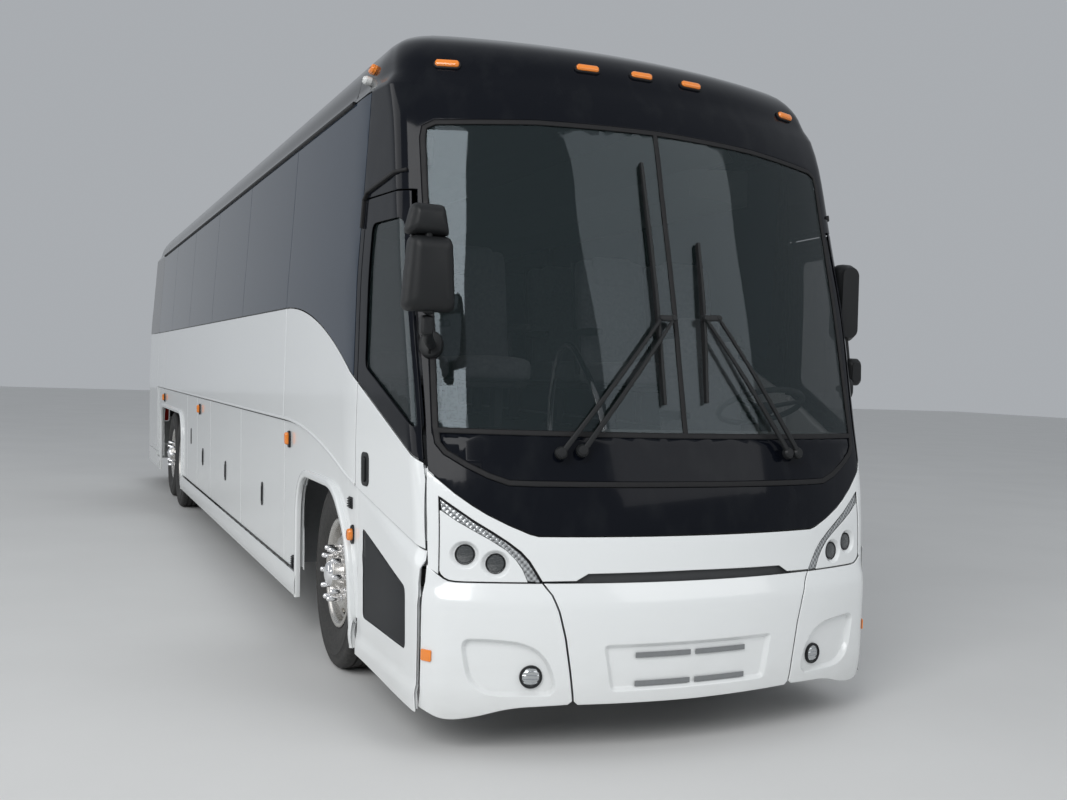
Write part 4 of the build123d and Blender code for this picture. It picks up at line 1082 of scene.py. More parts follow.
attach(whole(panel("roofPanel", roofOutline(sideStart, 5.176), "black", thick=0.04, step=0.3, grid=(0.5, 0.08),
                    halved=True)), "coach")

tailHeights = (2.033, 2.5, 3.05, 3.12, 3.2, 3.3, 3.35, 3.4, 3.43, 3.46, 3.469)


def rear(*points):
    return [("rear", y, z) for y, z in points]


lampHole = bent(rear((1.14, 0.80), (1.01, 0.80), (1.01, 1.36), (1.14, 1.36)), 0.03)
lowerTail = (
    [("side", sideStart - 0.004, z) for z in (2.027, 1.5, 1.0, 0.47)]
    + rear((0.953, 0.47), (0.953, 1.853), (0.0, 1.853), (0.0, 2.027))
)
upperTail = [("side", sideStart - 0.004, z) for z in reversed(tailHeights)]
upperTail += rear((0.0, 2.033), (0.0, 3.05), (0.0, 3.469))
tailLower = panel("tailLower", lowerTail, "white", holes=[lampHole], thick=0.04, grid=(0.12, 0.1), halved=True)
tailUpper = panel("tailUpper", upperTail, "black", thick=0.04, grid=(0.12, 0.08), halved=True)
for piece in (tailLower, tailUpper):
    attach(whole(piece), "coach")
bumperOutline = [("side", sideStart - 0.004, 0.464), ("side", sideStart - 0.004, 0.27)]
bumperOutline += rear((1.0, 0.27), (0.0, 0.27), (0.0, 0.464))
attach(whole(panel("tailBumper", bumperOutline[::-1], "white", thick=0.04, grid=(0.12, 0.05), halved=True)), "coach")
doorOutline = rear((0.946, 0.487), (0.946, 1.843), (0.0, 1.843), (0.0, 0.487))
slots = []
for row in range(14):
    z = 0.62 + row * 0.05
    slots.append(rear((0.80, z), (0.06, z), (0.06, z + 0.026), (0.80, z + 0.026)))
engineHalf = panel("engineDoor", doorOutline[::-1], "white", holes=slots, thick=0.035, grid=(0.2, 0.2), halved=True)
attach(whole(engineHalf), "engine_door")
for word, sign in bodySides.items():
    for number, (z0, z1, lens) in enumerate(((0.806, 0.985, "red"), (0.989, 1.17, "amber"), (1.174, 1.354, "red")), 1):
        outline = bent(rear((1.136, z0), (1.014, z0), (1.014, z1), (1.136, z1)), 0.02)
        coachPanel(f"tailLamp{word}{number}", outline, lens, sign, out=0.002, thick=0.03, bevel=0.004)
print("roof and tail made")


# Turned pieces about the wheels' axes

def turnedMesh(profile, count=72, closed=True):
    # A profile of radius and place along the axis, turned about Y
    mesh = bmesh.new()
    rings = []
    for k in range(count):
        angle = 2 * pi * k / count
        rings.append([mesh.verts.new((r * cos(angle), y, r * sin(angle))) for r, y in profile])
    total = len(profile)
    for k in range(count):
        a, b = rings[k], rings[(k + 1) % count]
        for j in range(total if closed else total - 1):
            n = (j + 1) % total
            mesh.faces.new((a[j], a[n], b[n], b[j]))
    bmesh.ops.remove_doubles(mesh, verts=mesh.verts[:], dist=1e-5)
    bmesh.ops.recalc_face_normals(mesh, faces=mesh.faces[:])
    return mesh


def finished(name, mesh, material, smooth=30):
    data = bpy.data.meshes.new(name)
    mesh.to_mesh(data)
    mesh.free()
    data.shade_smooth()
    data.materials.append(finishes[material])
    data.set_sharp_from_angle(angle=radians(smooth))
    return data


def bridged(mesh, loops):
    # Quads between loops of one count, a face over either end and all normals outwards
    count = len(loops[0])
    for a, b in zip(loops, loops[1:]):
        for j in range(count):
            mesh.faces.new((a[j], a[(j + 1) % count], b[(j + 1) % count], b[j]))
    mesh.faces.new(loops[0])
    mesh.faces.new(list(reversed(loops[-1])))
    bmesh.ops.recalc_face_normals(mesh, faces=mesh.faces[:])


def placed(name, data, spot=(0, 0, 0), body="coach", turn=None):
    made = added(name, data)
    made.matrix_world = Matrix.Translation(spot) @ (turn or Matrix.Identity(4))
    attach(made, body)
    return made


def roundTo(profile, radius=0.004, count=3):
    # Rounds the corners of a closed profile
    spots = [Vector(point) for point in profile]
    result = []
    for k, here in enumerate(spots):
        result += map(tuple, rounding(spots[k - 1], here, spots[(k + 1) % len(spots)], radius, count, 0.4))
    return result


# Tyres

tyre = {"radius": 0.522, "half": 0.149, "bead": 0.290, "grooves": (-0.075, -0.025, 0.025, 0.075), "groove": 0.009}


def tyreProfile():
    wall = [
        (tyre["bead"], 0.106), (0.300, 0.114), (0.318, 0.124), (0.345, 0.136), (0.385, 0.146), (0.415, 0.149),
        (0.440, 0.148), (0.447, 0.151), (0.453, 0.147), (0.480, 0.140), (0.487, 0.142), (0.505, 0.134),
        (0.515, 0.124),
    ]
    tread = [(0.520, 0.116)]
    for place in reversed(tyre["grooves"]):
        half, low = tyre["groove"] / 2, tyre["radius"] - 0.014
        tread += [(tyre["radius"], place + half + 0.002), (low, place + half * 0.6), (low, place - half * 0.6),
                  (tyre["radius"], place - half - 0.002)]
    tread += [(0.520, -0.116)]
    return wall + tread + [(r, -y) for r, y in reversed(wall)]


treads = turnedMesh(tyreProfile(), 96)
tyreData = finished("tyre", treads, "tyre", 40)

# Wheels: the steered and tag wheels bulge outwards, the drive wheels are dished

singleProfile = roundTo([
    (0.0, 0.170), (0.060, 0.170), (0.078, 0.162), (0.100, 0.128), (0.104, 0.112), (0.124, 0.108), (0.186, 0.112),
    (0.200, 0.106), (0.236, 0.088), (0.248, 0.066), (0.258, 0.080), (0.266, 0.112), (0.278, 0.124), (0.296, 0.127),
    (0.303, 0.122), (0.301, 0.115), (0.286, 0.113), (0.276, 0.104), (0.270, 0.070), (0.264, 0.020), (0.268, -0.110),
    (0.290, -0.114), (0.302, -0.116), (0.302, -0.124), (0.270, -0.124), (0.258, -0.110), (0.250, 0.020),
    (0.240, 0.052), (0.226, 0.074), (0.190, 0.094), (0.110, 0.094), (0.104, -0.050), (0.0, -0.050),
])
twinProfile = roundTo([
    (0.0, 0.130), (0.060, 0.130), (0.092, 0.098), (0.104, 0.030), (0.124, 0.012), (0.186, 0.010), (0.234, 0.026),
    (0.248, 0.060), (0.254, 0.170), (0.262, 0.282), (0.276, 0.296), (0.298, 0.298), (0.304, 0.292), (0.300, 0.286),
    (0.280, 0.284), (0.272, 0.270), (0.266, 0.170), (0.260, 0.060), (0.244, 0.014), (0.190, -0.006), (0.110, -0.006),
    (0.104, -0.12), (0.0, -0.12),
])


def cutData(data, holes, name):
    # The wheel with its hand holes cut
    base, cutter = added(name, data), added(name + "Cut", holes)
    cut = base.modifiers.new("holes", "BOOLEAN")
    cut.operation, cut.solver, cut.object = "DIFFERENCE", "EXACT", cutter
    graph = bpy.context.evaluated_depsgraph_get()
    result = bpy.data.meshes.new_from_object(base.evaluated_get(graph))
    for item in (base, cutter):
        bpy.data.objects.remove(item)
    result.set_sharp_from_angle(angle=radians(30))
    return result


def rods(count, circle, stations, sides, squash=1.0):
    # Rods along Y in a ring, each turned through stations of place and radius, oval if squashed
    mesh = bmesh.new()
    for k in range(count):
        angle = 2 * pi * k / count
        outward, around = Vector((cos(angle), 0, sin(angle))), Vector((-sin(angle), 0, cos(angle)))
        loops = []
        for y, r in stations:
            spot = outward * circle + Vector((0, y, 0))
            angles = [2 * pi * j / sides for j in range(sides)]
            loops.append([mesh.verts.new(spot + outward * r * squash * cos(a) + around * r * sin(a)) for a in angles])
        bridged(mesh, loops)
    return mesh


handHole = {"circle": 0.219, "radius": 0.031, "squash": 0.72, "sides": 24}


def handHoles(name, y0, y1):
    ends = [(y0, handHole["radius"]), (y1, handHole["radius"])]
    return finished(name, rods(10, handHole["circle"], ends, handHole["sides"], handHole["squash"]), "alloy")


singleHoles = handHoles("singleHoles", -0.02, 0.2)
twinHoles = handHoles("twinHoles", -0.06, 0.12)
wheelData = {
    "single": cutData(finished("single", turnedMesh(singleProfile, 96), "alloy"), singleHoles, "single"),
    "twin": cutData(finished("twin", turnedMesh(twinProfile, 96), "alloy"), twinHoles, "twin"),
}
nutStations = [
    (0.098, 0.0215), (0.100, 0.0215), (0.112, 0.0215), (0.114, 0.0165), (0.180, 0.0155), (0.188, 0.012), (0.192, 0.004),
]
nutData = finished("nuts", rods(10, 0.1425, nutStations, 12), "chrome")
capData = finished("hubCap", turnedMesh(roundTo([
    (0.0, 0.166), (0.0, 0.196), (0.030, 0.195), (0.056, 0.186), (0.064, 0.172), (0.070, 0.166),
]), 48), "chrome")
axles = [
    ("Front", "front", 4.93, 1.05, (0.0,), "single", 0.0),
    ("Drive", "drive", -3.09, 0.9075, (-0.17, 0.17), "twin", -0.1),
    ("Tag", "tag", -4.31, 1.05, (0.0,), "single", 0.0),
]
for title, name, x, y, offsets, kind, nutShift in axles:
    for word, sign in bodySides.items():
        rider = f"wheelset_{name}_{word.lower()}"
        turn = Matrix.Rotation(0 if sign > 0 else pi, 4, "Z")
        centre = Vector((x, sign * y, tyre["radius"]))
        rim = placed(f"wheel{title}{word}", wheelData[kind], centre, rider, turn)
        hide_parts(f"wheel_{name}_{word.lower()}")
        placed(f"nuts{title}{word}", nutData, centre + Vector((0, sign * nutShift, 0)), rider, turn)
        capShift = -0.042 if nutShift else 0
        placed(f"hubCap{title}{word}", capData, centre + Vector((0, sign * capShift, 0)), rider, turn)
        for number, offset in enumerate(offsets, 1):
            rubber = placed(f"tyre{title}{word}{number}", tyreData, centre + Vector((0, sign * offset, 0)), rider)
            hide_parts(f"tyre_{name}_{word.lower()}")
        if kind == "twin":
            back = finished("innerRim", turnedMesh(roundTo([
                (0.258, -0.07), (0.262, -0.280), (0.298, -0.290), (0.304, -0.298), (0.284, -0.300), (0.254, -0.290),
                (0.246, -0.06), (0.10, -0.012), (0.10, -0.018), (0.25, -0.07),
            ]), 72), "alloy")
            placed(f"innerRim{title}{word}", back, centre, rider, turn)
print("wheels made")


# Lamps in the nose

def onFace(y, z, out=0.0, sign=1):
    # A place on the face, from its distance across and its height
    u, v = fromFront(y, z)
    return skinAt(sign * u, v, out)


def skinTurn(u, v, level=0.0):
    # The turn that lays a piece's Z axis along the skin's normal, partly levelled
    a, b = skinAt(u - 0.01, v), skinAt(u + 0.01, v)
    c, d = skinAt(u, v - 0.01), skinAt(u, v + 0.01)
    normal = (b - a).cross(d - c).normalized()
    normal = Vector((normal.x, normal.y, normal.z * (1 - level))).normalized()
    return normal.to_track_quat("Z", "Y").to_matrix().to_4x4()


def faceTurn(y, z, sign=1, level=0.6):
    u, v = fromFront(y, z)
    return skinTurn(sign * u, v, level)


def discData(name, profile, material, count=48, smooth=30):
    # A turned piece about Z: profile of radius and height
    mesh = turnedMesh(profile, count, closed=False)
    for vert in mesh.verts:
        x, y, z = vert.co
        vert.co = Vector((x, z, y))
    bmesh.ops.recalc_face_normals(mesh, faces=mesh.faces[:])
    return finished(name, mesh, material, smooth)


lampPanelOutline = (
    front(*ledInner[::-1])
    + front((lampOuterY, 1.058), (lampOuterY, 0.800), (1.112, 0.784), (1.098, 0.770), (1.080, 0.761), (1.055, 0.757),
            (1.02, 0.756), (0.762, 0.756))
)[::-1]
ledOutline = front(*inward(ledOuter, 0.010), *ledInner[::-1])
lensData = discData("lampLens", [(0.0, 0.0035), (0.020, 0.003), (0.036, 0.001), (0.0415, -0.004)], "lampGlass")
rimData = discData("lampRim", [(0.0405, -0.004), (0.0415, 0.002), (0.0440, 0.002), (0.0450, -0.006)], "rubber")
fogRing = discData("fogRing", [
    (0.040, -0.006), (0.042, 0.004), (0.046, 0.005), (0.050, 0.000), (0.051, -0.02),
], "plastic")
fogLens = discData("fogLens", [(0.0, 0.004), (0.02, 0.003), (0.034, 0.001), (0.042, -0.003)], "fogGlass")
lampSpots = ((1.020, 0.871), (0.895, 0.834))
lampDish = {"radius": 0.063, "run": 0.019, "depth": 0.017}


def dish(y, z):
    # A round hollow in the lamp panel
    circle = front(*[(y + lampDish["radius"] * cos(radians(12 * k)), z + lampDish["radius"] * sin(radians(12 * k)))
                     for k in range(30)])
    return circle, lampDish["run"], lampDish["depth"]


for word, sign in bodySides.items():
    coachPanel(f"lampPanel{word}", lampPanelOutline, "white", sign, out=-0.004, thick=0.03, grid=(0.03, 0.03),
               dents=[dish(y, z) for y, z in lampSpots])
    coachPanel(f"ledStrip{word}", ledOutline, "led", sign, out=-0.008, thick=0.02, grid=(0.014, 0.014))
    # Painted shade: a dark sheet in the rubber finish behind the LED strip, seen in the gap where the strip's outer
    # edge is set in
    shadeOutline = front(*ledOuter, *ledInner[::-1])
    coachPanel(f"ledShade{word}", shadeOutline, "rubber", sign, out=-0.014, thick=0.01, bevel=0)
    for number, (y, z) in enumerate(lampSpots, 1):
        spot, turn = onFace(y, z, -0.018, sign), faceTurn(y, z, sign, 0.15)
        placed(f"lampLens{word}{number}", lensData, spot, "coach", turn)
        placed(f"lampRim{word}{number}", rimData, spot, "coach", turn)
    spot, turn = onFace(0.746, 0.346, -0.018, sign), faceTurn(0.746, 0.346, sign)
    placed(f"fogRing{word}", fogRing, spot, "coach", turn)
    placed(f"fogLens{word}", fogLens, spot, "coach", turn)

# Clearance lamps, side markers, reflectors and latches

def roundCorners(steps):
    # Signs of the four corners of a rectangle, each with the directions of a quarter turn
    for cx, cy, start in ((1, 1, 0), (-1, 1, 90), (-1, -1, 180), (1, -1, 270)):
        for k in range(steps + 1):
            angle = radians(start + 90 * k / steps)
            yield cx, cy, cos(angle), sin(angle)


def pill(name, width, height, depth, material, corner=0.5):
    # A rounded bar lying in XY with its face towards +Z
    mesh = bmesh.new()
    radius = min(width, height) / 2 * corner * 2
    radius = min(radius, min(width, height) / 2 - 1e-4)
    rims = []
    for level, shrink in ((0.0, 0.0), (depth * 0.6, 0.0), (depth * 0.9, depth * 0.18), (depth, depth * 0.5)):
        r = radius - shrink * 0.5
        rims.append([mesh.verts.new((
            cx * (width / 2 - radius) + r * c - cx * shrink * 0.3,
            cy * (height / 2 - radius) + r * s - cy * shrink * 0.3,
            level,
        )) for cx, cy, c, s in roundCorners(6)])
    bridged(mesh, rims)
    return finished(name, mesh, material, 25)


def onSide(x, z, sign, out=0.0):
    u, v = fromSide(x, z)
    return skinAt(sign * u, v, out), skinTurn(sign * u, v)


# Width, height, depth, finish and roundness of the corners
fittings = {
    "clearanceBase": (0.134, 0.050, 0.010, "rubber", 0.5),
    "clearanceLens": (0.116, 0.036, 0.024, "amber", 0.4),
    "markerBase": (0.070, 0.105, 0.012, "plastic", 0.35),
    "markerLens": (0.046, 0.078, 0.030, "amber", 0.35),
    "latchBase": (0.056, 0.165, 0.006, "plastic", 0.5),
    "latchBar": (0.020, 0.11, 0.008, "plastic", 0.5),
    "vent": (0.075, 0.085, 0.012, "plastic", 0.12),
    "archVent": (0.070, 0.060, 0.010, "plastic", 0.12),
    "reflector": (0.058, 0.050, 0.006, "amber", 0.12),
    "ovalLampBase": (0.052, 0.098, 0.010, "plastic", 0.9),
    "ovalLamp": (0.044, 0.062, 0.030, "amber", 0.9),
    "handleBase": (0.105, 0.165, 0.005, "plastic", 0.3),
    "handleGrip": (0.040, 0.125, 0.012, "plastic", 0.5),
    "ventSlat": (0.060, 0.008, 0.010, "plastic", 0.5),
    "roofSideLamp": (0.07, 0.05, 0.030, "amber", 0.5),
    "sideCamera": (0.055, 0.045, 0.045, "white", 0.5),
    "mirrorKnuckle": (0.052, 0.085, 0.055, "plastic", 0.3),
    "mirrorFoot": (0.105, 0.125, 0.035, "plastic", 0.95),
}
pills = {name: pill(name, *values) for name, values in fittings.items()}
clearance = ((-0.969, 3.151), (-0.293, 3.196), (0.0, 3.199), (0.293, 3.196), (0.969, 3.151))
for number, (y, z) in enumerate(clearance, 1):
    sign = 1 if y >= 0 else -1
    spot, turn = onFace(abs(y), z, 0.0, sign), faceTurn(abs(y), z, sign, 0.0)
    for name in ("clearanceBase", "clearanceLens"):
        placed(f"{name}{number}", pills[name], spot, "coach", turn)


def fitted(name, kind, x, z, sign, rider="coach", out=0.0, drop=0.0):
    spot, turn = onSide(x, z, sign, out)
    return placed(name, pills[kind], spot + Vector((0, 0, drop)), rider, turn)


slatPitch = 0.0125
for word, sign in bodySides.items():
    for number, x in enumerate((3.945, -0.795, -4.537), 1):
        fitted(f"markerBase{word}{number}", "markerBase", x, 1.205, sign, out=-0.012)
        fitted(f"markerLens{word}{number}", "markerLens", x, 1.210, sign, out=-0.008)
    for number, x in enumerate((2.91, 1.02, -0.56), 1):
        door = f"luggage_door_{word.lower()}_{number}"
        fitted(f"latchBase{word}{number}", "latchBase", x, 0.758, sign, door, -0.012)
        fitted(f"latchBar{word}{number}", "latchBar", x, 0.758, sign, door, -0.010)
    fitted(f"serviceLatch{word}", "latchBase", -1.58, 0.896, sign, out=-0.014)
    fitted(f"sideVent{word}", "vent", 4.13, 0.46, sign, out=-0.010)
    fitted(f"archVent{word}", "archVent", 5.585, 0.985, sign, out=-0.022)
    for name, count, x, z, out in (("sideVent", 6, 4.13, 0.46, 0.0), ("archVent", 4, 5.585, 0.985, -0.014)):
        for row in range(count):
            drop = slatPitch * (row - (count - 1) / 2)
            fitted(f"{name}Slat{word}{row + 1}", "ventSlat", x, z, sign, out=out, drop=drop)
    fitted(f"ovalLampBase{word}", "ovalLampBase", 5.628, 0.83, sign, out=-0.018)
    fitted(f"ovalLamp{word}", "ovalLamp", 5.628, 0.83, sign, out=-0.014)
    spot, turn = onFace(1.160, 0.434, 0.0, sign), faceTurn(1.160, 0.434, sign)
    placed(f"reflector{word}", pills["reflector"], spot, "coach", turn)
fitted("doorHandleBase", "handleBase", 5.852, 1.177, -1, "entry_door", -0.001)
fitted("doorHandleGrip", "handleGrip", 5.852, 1.177, -1, "entry_door", 0.002)
fitted("roofSideLampRight", "roofSideLamp", 5.45, 3.205, -1)
fitted("roofSideLampLeft", "roofSideLamp", 5.45, 3.205, 1)
fitted("sideCameraRight", "sideCamera", 5.42, 3.15, -1)
print("lamps and fittings made")


# Ribbons that lie along the skin: wipers, gutters, drip rails

def ribbon(name, spots, width, depth, material, taper=1.0):
    # Spots are places with outward normals; the ribbon's section is a rounded rectangle
    mesh = bmesh.new()
    loops = []
    count = len(spots)
    for k, (spot, normal) in enumerate(spots):
        ahead = (spots[min(k + 1, count - 1)][0] - spots[max(k - 1, 0)][0]).normalized()
        across = normal.cross(ahead).normalized()
        scale = 1 + (taper - 1) * k / max(count - 1, 1)
        w, h = width / 2 * scale, depth / 2
        corners = [(1, 0.3), (0.9, 0.75), (0.6, 1), (-0.6, 1), (-0.9, 0.75), (-1, 0.3), (-1, -1), (1, -1)]
        loops.append([mesh.verts.new(spot + across * w * a + normal * h * b) for a, b in corners])
    bridged(mesh, loops)
    return placed(name, finished(name, mesh, material, 50))


def skinSpot(u, v, out):
    return skinAt(u, v, out), skinTurn(u, v).to_3x3() @ Vector((0, 0, 1))


def faceLine(start, stop, out, count=10, arch=0.0):
    # Spots between two places of the face seen from the front, with an optional rise in the middle
    spots = []
    for k in range(count + 1):
        t = k / count
        y, z = start[0] + (stop[0] - start[0]) * t, start[1] + (stop[1] - start[1]) * t
        u, v = fromFront(y, z)
        spots.append(skinSpot(u, v, out + arch * sin(pi * t)))
    return spots


# Seen from the front: two arms and a blade, each from one place to another
wiperSets = {
    "Right": [
        ((-0.610, 1.321), (-0.096, 1.953)), ((-0.517, 1.332), (-0.033, 1.953)), ((-0.103, 1.548), (-0.103, 2.717)),
    ],
    "Left": [
        ((0.561, 1.326), (0.138, 1.965)), ((0.624, 1.326), (0.213, 1.969)), ((0.120, 1.561), (0.163, 2.337)),
    ],
}
pivotData = discData("wiperPivot", [(0.0, 0.030), (0.020, 0.028), (0.028, 0.018), (0.030, 0.0)], "plastic")
jointData = discData("wiperJoint", [(0.0, 0.012), (0.012, 0.010), (0.016, 0.0)], "plastic", 24)
for word, (first, second, blade) in wiperSets.items():
    for number, (start, stop) in enumerate((first, second), 1):
        ribbon(f"wiperArm{word}{number}", faceLine(start, stop, 0.050, 12, 0.010), 0.026, 0.012, "plastic", 0.6)
        u, v = fromFront(*start)
        placed(f"wiperPivot{word}{number}", pivotData, skinAt(u, v, 0.030), "coach", skinTurn(u, v))
        u, v = fromFront(*stop)
        placed(f"wiperJoint{word}{number}", jointData, skinAt(u, v, 0.052), "coach", skinTurn(u, v))
    ribbon(f"wiperLink{word}", faceLine(first[1], second[1], 0.054, 3), 0.030, 0.010, "plastic")
    middle = (blade[0][0], first[1][1])
    ribbon(f"wiperBridge{word}", faceLine(first[1], middle, 0.040, 3), 0.024, 0.012, "plastic")
    ribbon(f"wiperBlade{word}", faceLine(*blade, 0.012, 24), 0.010, 0.020, "rubber")
    ribbon(f"wiperFrame{word}", faceLine(*blade, 0.026, 24, 0.012), 0.014, 0.008, "plastic")


def sideLine(points, sign, out, count=40):
    spots = []
    for first, second in zip(points, points[1:]):
        for k in range(count):
            t = k / count
            u, v = fromSide(first[0] + (second[0] - first[0]) * t, first[1] + (second[1] - first[1]) * t)
            spots.append(skinSpot(sign * u, v, out))
    u, v = fromSide(*points[-1])
    return spots + [skinSpot(sign * u, v, out)]


def along3(outline, sign, out):
    # Spots along an open line on the side
    return [skinSpot(*onSkin(point, sign), out) for point in outline]


for word, sign in bodySides.items():
    for arch in arches:
        spots = along3(archLine(arch, 0.018), sign, -0.006)
        ribbon(f"archLip{arch}{word}", spots, 0.044, 0.030, "white")
    spots = along3(along("rub", sideStart, places["doorRear"] - 0.004, 0.011, 60), sign, -0.002)
    ribbon(f"rubBead{word}", spots, 0.017, 0.014, "white")
    ribbon(f"gutter{word}", sideLine([(sideStart, 3.052), (5.30, 3.052)], sign, 0.004), 0.022, 0.018, "rubber")
    rail = [(5.675, 2.36), (5.675, 2.50), (5.715, 2.535), (6.13, 2.60)]
    ribbon(f"dripRail{word}", sideLine(rail, sign, 0.006, 8), 0.016, 0.020, "rubber")
print("wipers and rails made")


# Tubes and rounded housings for the mirrors

def tube(name, points, radius, material):
    data = bpy.data.curves.new(name, "CURVE")
    data.dimensions = "3D"
    data.bevel_depth, data.bevel_resolution, data.resolution_u = radius, 4, 10
    spline = data.splines.new("BEZIER")
    spline.bezier_points.add(len(points) - 1)
    for knot, point in zip(spline.bezier_points, points):
        knot.co = point
        knot.handle_left_type = knot.handle_right_type = "AUTO"
    data.use_fill_caps = True
    data.materials.append(finishes[material])
    return placed(name, data)


def housing(name, width, height, depth, corner, taper, material):
    # A mirror head: flat at the back, rounded over to the front, narrower at its top, Z forward and Y up
    mesh = bmesh.new()
    loops = []
    room = min(width, height) / 2 - corner
    for level, shrink in ((0.0, 0.006), (0.004, 0.0), (depth * 0.45, 0.0), (depth * 0.75, 0.010), (depth * 0.92, 0.026),
                          (depth, 0.052)):
        shrink = min(shrink, room * 0.95)
        radius = max(corner - shrink * 0.4, 0.01)
        loop = []
        for cx, cy, c, s in roundCorners(8):
            x = cx * (width / 2 - shrink - radius) + radius * c
            y = cy * (height / 2 - shrink - radius) + radius * s
            loop.append(mesh.verts.new((x * (1 - taper * (y / height + 0.5)), y, level)))
        loops.append(loop)
    bridged(mesh, loops)
    return finished(name, mesh, material, 40)


def forward(yaw=0.0):
    # Lays Z forwards and Y up, turned outwards by a yaw in degrees
    way = Vector((cos(radians(yaw)), sin(radians(yaw)), 0))
    return way.to_track_quat("Z", "Y").to_matrix().to_4x4()


heads = {
    "mirrorMainRight": (0.222, 0.312, 0.105, 0.034, 0.20, (6.812, -1.273, 2.063)),
    "mirrorUpperRight": (0.190, 0.128, 0.085, 0.024, 0.30, (6.822, -1.289, 2.284)),
    "mirrorMainLeft": (0.150, 0.426, 0.095, 0.055, 0.06, (6.130, 1.302, 2.128)),
    "mirrorLowerLeft": (0.110, 0.150, 0.070, 0.030, 0.15, (6.180, 1.345, 1.745)),
}
for name, (width, height, depth, corner, taper, place) in heads.items():
    placed(name, housing(name, width, height, depth, corner, taper, "plastic"), place, "coach", forward())
    glass = pill(name + "Glass", width * (1 - taper) - 0.02, height - 0.03, 0.003, "chrome", 0.25)
    placed(name + "Glass", glass, Vector(place) + Vector((-0.001, 0, 0)), "coach", forward(180))
tube("mirrorArmRight", [
    (6.86, -1.286, 2.33), (6.862, -1.286, 2.20), (6.855, -1.282, 1.98), (6.845, -1.271, 1.93),
], 0.017, "plastic")
ball = discData("mirrorBall", [
    (0.0, 0.026), (0.013, 0.023), (0.023, 0.012), (0.026, 0.0), (0.023, -0.012), (0.0, -0.026),
], "plastic", 24)
placed("mirrorBallRight", ball, (6.845, -1.271, 1.915))
placed("mirrorKnuckleRight", pills["mirrorKnuckle"], (6.80, -1.270, 1.852), "coach", forward())
tube("mirrorBracketRight", [
    (6.82, -1.268, 1.84), (6.76, -1.246, 1.815), (6.60, -1.190, 1.793), (6.40, -1.120, 1.780),
], 0.022, "plastic")
u, v = fromFront(1.124, 1.78)
placed("mirrorFootRight", pills["mirrorFoot"], skinAt(-u, v, -0.004), "coach", skinTurn(-u, v))
tube("mirrorArmLeft", [
    (6.17, 1.302, 2.00), (6.19, 1.318, 1.80), (6.205, 1.318, 1.69), (6.24, 1.26, 1.655), (6.30, 1.190, 1.650),
], 0.018, "plastic")
fitted("mirrorFootLeft", "mirrorFoot", 6.30, 1.65, 1, out=-0.004)
tube("roofAntenna", [(4.55, -0.30, 3.455), (4.50, -0.30, 3.468)], 0.010, "plastic")
print("mirrors made")


# Seats

seats = {
    "rows": 13, "first": 5.35, "pitch": 0.82, "places": (0.46, 0.935), "deck": 1.33,
    "cushion": (0.48, 0.45, 0.13), "back": (0.12, 0.45, 0.74), "lean": 11.0, "puff": 0.018,
}


def block(mesh, size, radius, cuts, centre=(0, 0, 0), lean=0.0):
    # A rounded block: points of a cut cube are drawn onto it
    start = len(mesh.verts)
    made = bmesh.ops.create_cube(mesh, size=2.0)["verts"]
    edges = list({edge for vert in made for edge in vert.link_edges})
    bmesh.ops.subdivide_edges(mesh, edges=edges, cuts=cuts, use_grid_fill=True)
    mesh.verts.ensure_lookup_table()
    turn = Matrix.Rotation(radians(-lean), 3, "Y")
    half = [value / 2 for value in size]
    for vert in mesh.verts[start:]:
        spot = Vector([vert.co[k] * half[k] for k in range(3)])
        core = Vector([min(max(spot[k], radius - half[k]), half[k] - radius) for k in range(3)])
        way = spot - core
        vert.co = turn @ (core + way.normalized() * radius if way.length > 1e-6 else spot) + Vector(centre)


def pad(name, size, radius, cuts, seams):
    # A cushion before it is puffed up, held along its seams and its underside
    mesh = bmesh.new()
    block(mesh, size, radius, cuts)
    data = finished(name, mesh, "fabric", 60)
    made = added(name, data)
    held = made.vertex_groups.new(name="held")
    thin = size.index(min(size))
    lengthways = 0 if thin == 2 else 2
    low = -size[thin] / 2 + 0.01
    stitches = [vert.index for vert in data.vertices
                if vert.co[thin] < low or any(abs(vert.co[lengthways] - place) < 0.012 for place in seams)
                or abs(vert.co[thin]) < 0.01]
    held.add(stitches, 1.0, "REPLACE")
    cloth = made.modifiers.new("puff", "CLOTH")
    cloth.settings.use_pressure = True
    cloth.settings.uniform_pressure_force = 4.0
    cloth.settings.effector_weights.gravity = 0.0
    cloth.settings.vertex_group_mass = "held"
    cloth.point_cache.frame_end = 14
    return made


def puffed(made):
    # The simulated shape, with how far a point may move capped
    graph = bpy.context.evaluated_depsgraph_get()
    result = bpy.data.meshes.new_from_object(made.evaluated_get(graph))
    for before, after in zip(made.data.vertices, result.vertices):
        move = after.co - before.co
        if move.length > seats["puff"]:
            after.co = before.co + move.normalized() * seats["puff"]
    result.shade_smooth()
    return result


padShapes = {
    "cushion": pad("cushionShape", seats["cushion"], 0.045, 9, (-0.14, 0.05)),
    "back": pad("backShape", seats["back"], 0.045, 9, (-0.22, -0.07, 0.15)),
    "driverCushion": pad("driverCushionShape", (0.50, 0.50, 0.13), 0.05, 11, (-0.15, 0.07)),
    "driverBack": pad("driverBackShape", (0.13, 0.50, 0.60), 0.05, 11, (-0.15, 0.05)),
    "headrest": pad("headrestShape", (0.09, 0.28, 0.19), 0.04, 7, ()),
}
for shot in range(1, 15):
    bpy.context.scene.frame_set(shot)
padData = {name: puffed(shape) for name, shape in padShapes.items()}
bpy.context.scene.frame_set(1)
for shape in padShapes.values():
    bpy.data.objects.remove(shape)


def cushion(name, kind, centre, lean=0.0):
    made = placed(name, padData[kind], centre, "coach", Matrix.Rotation(radians(-lean), 4, "Y"))
    return made


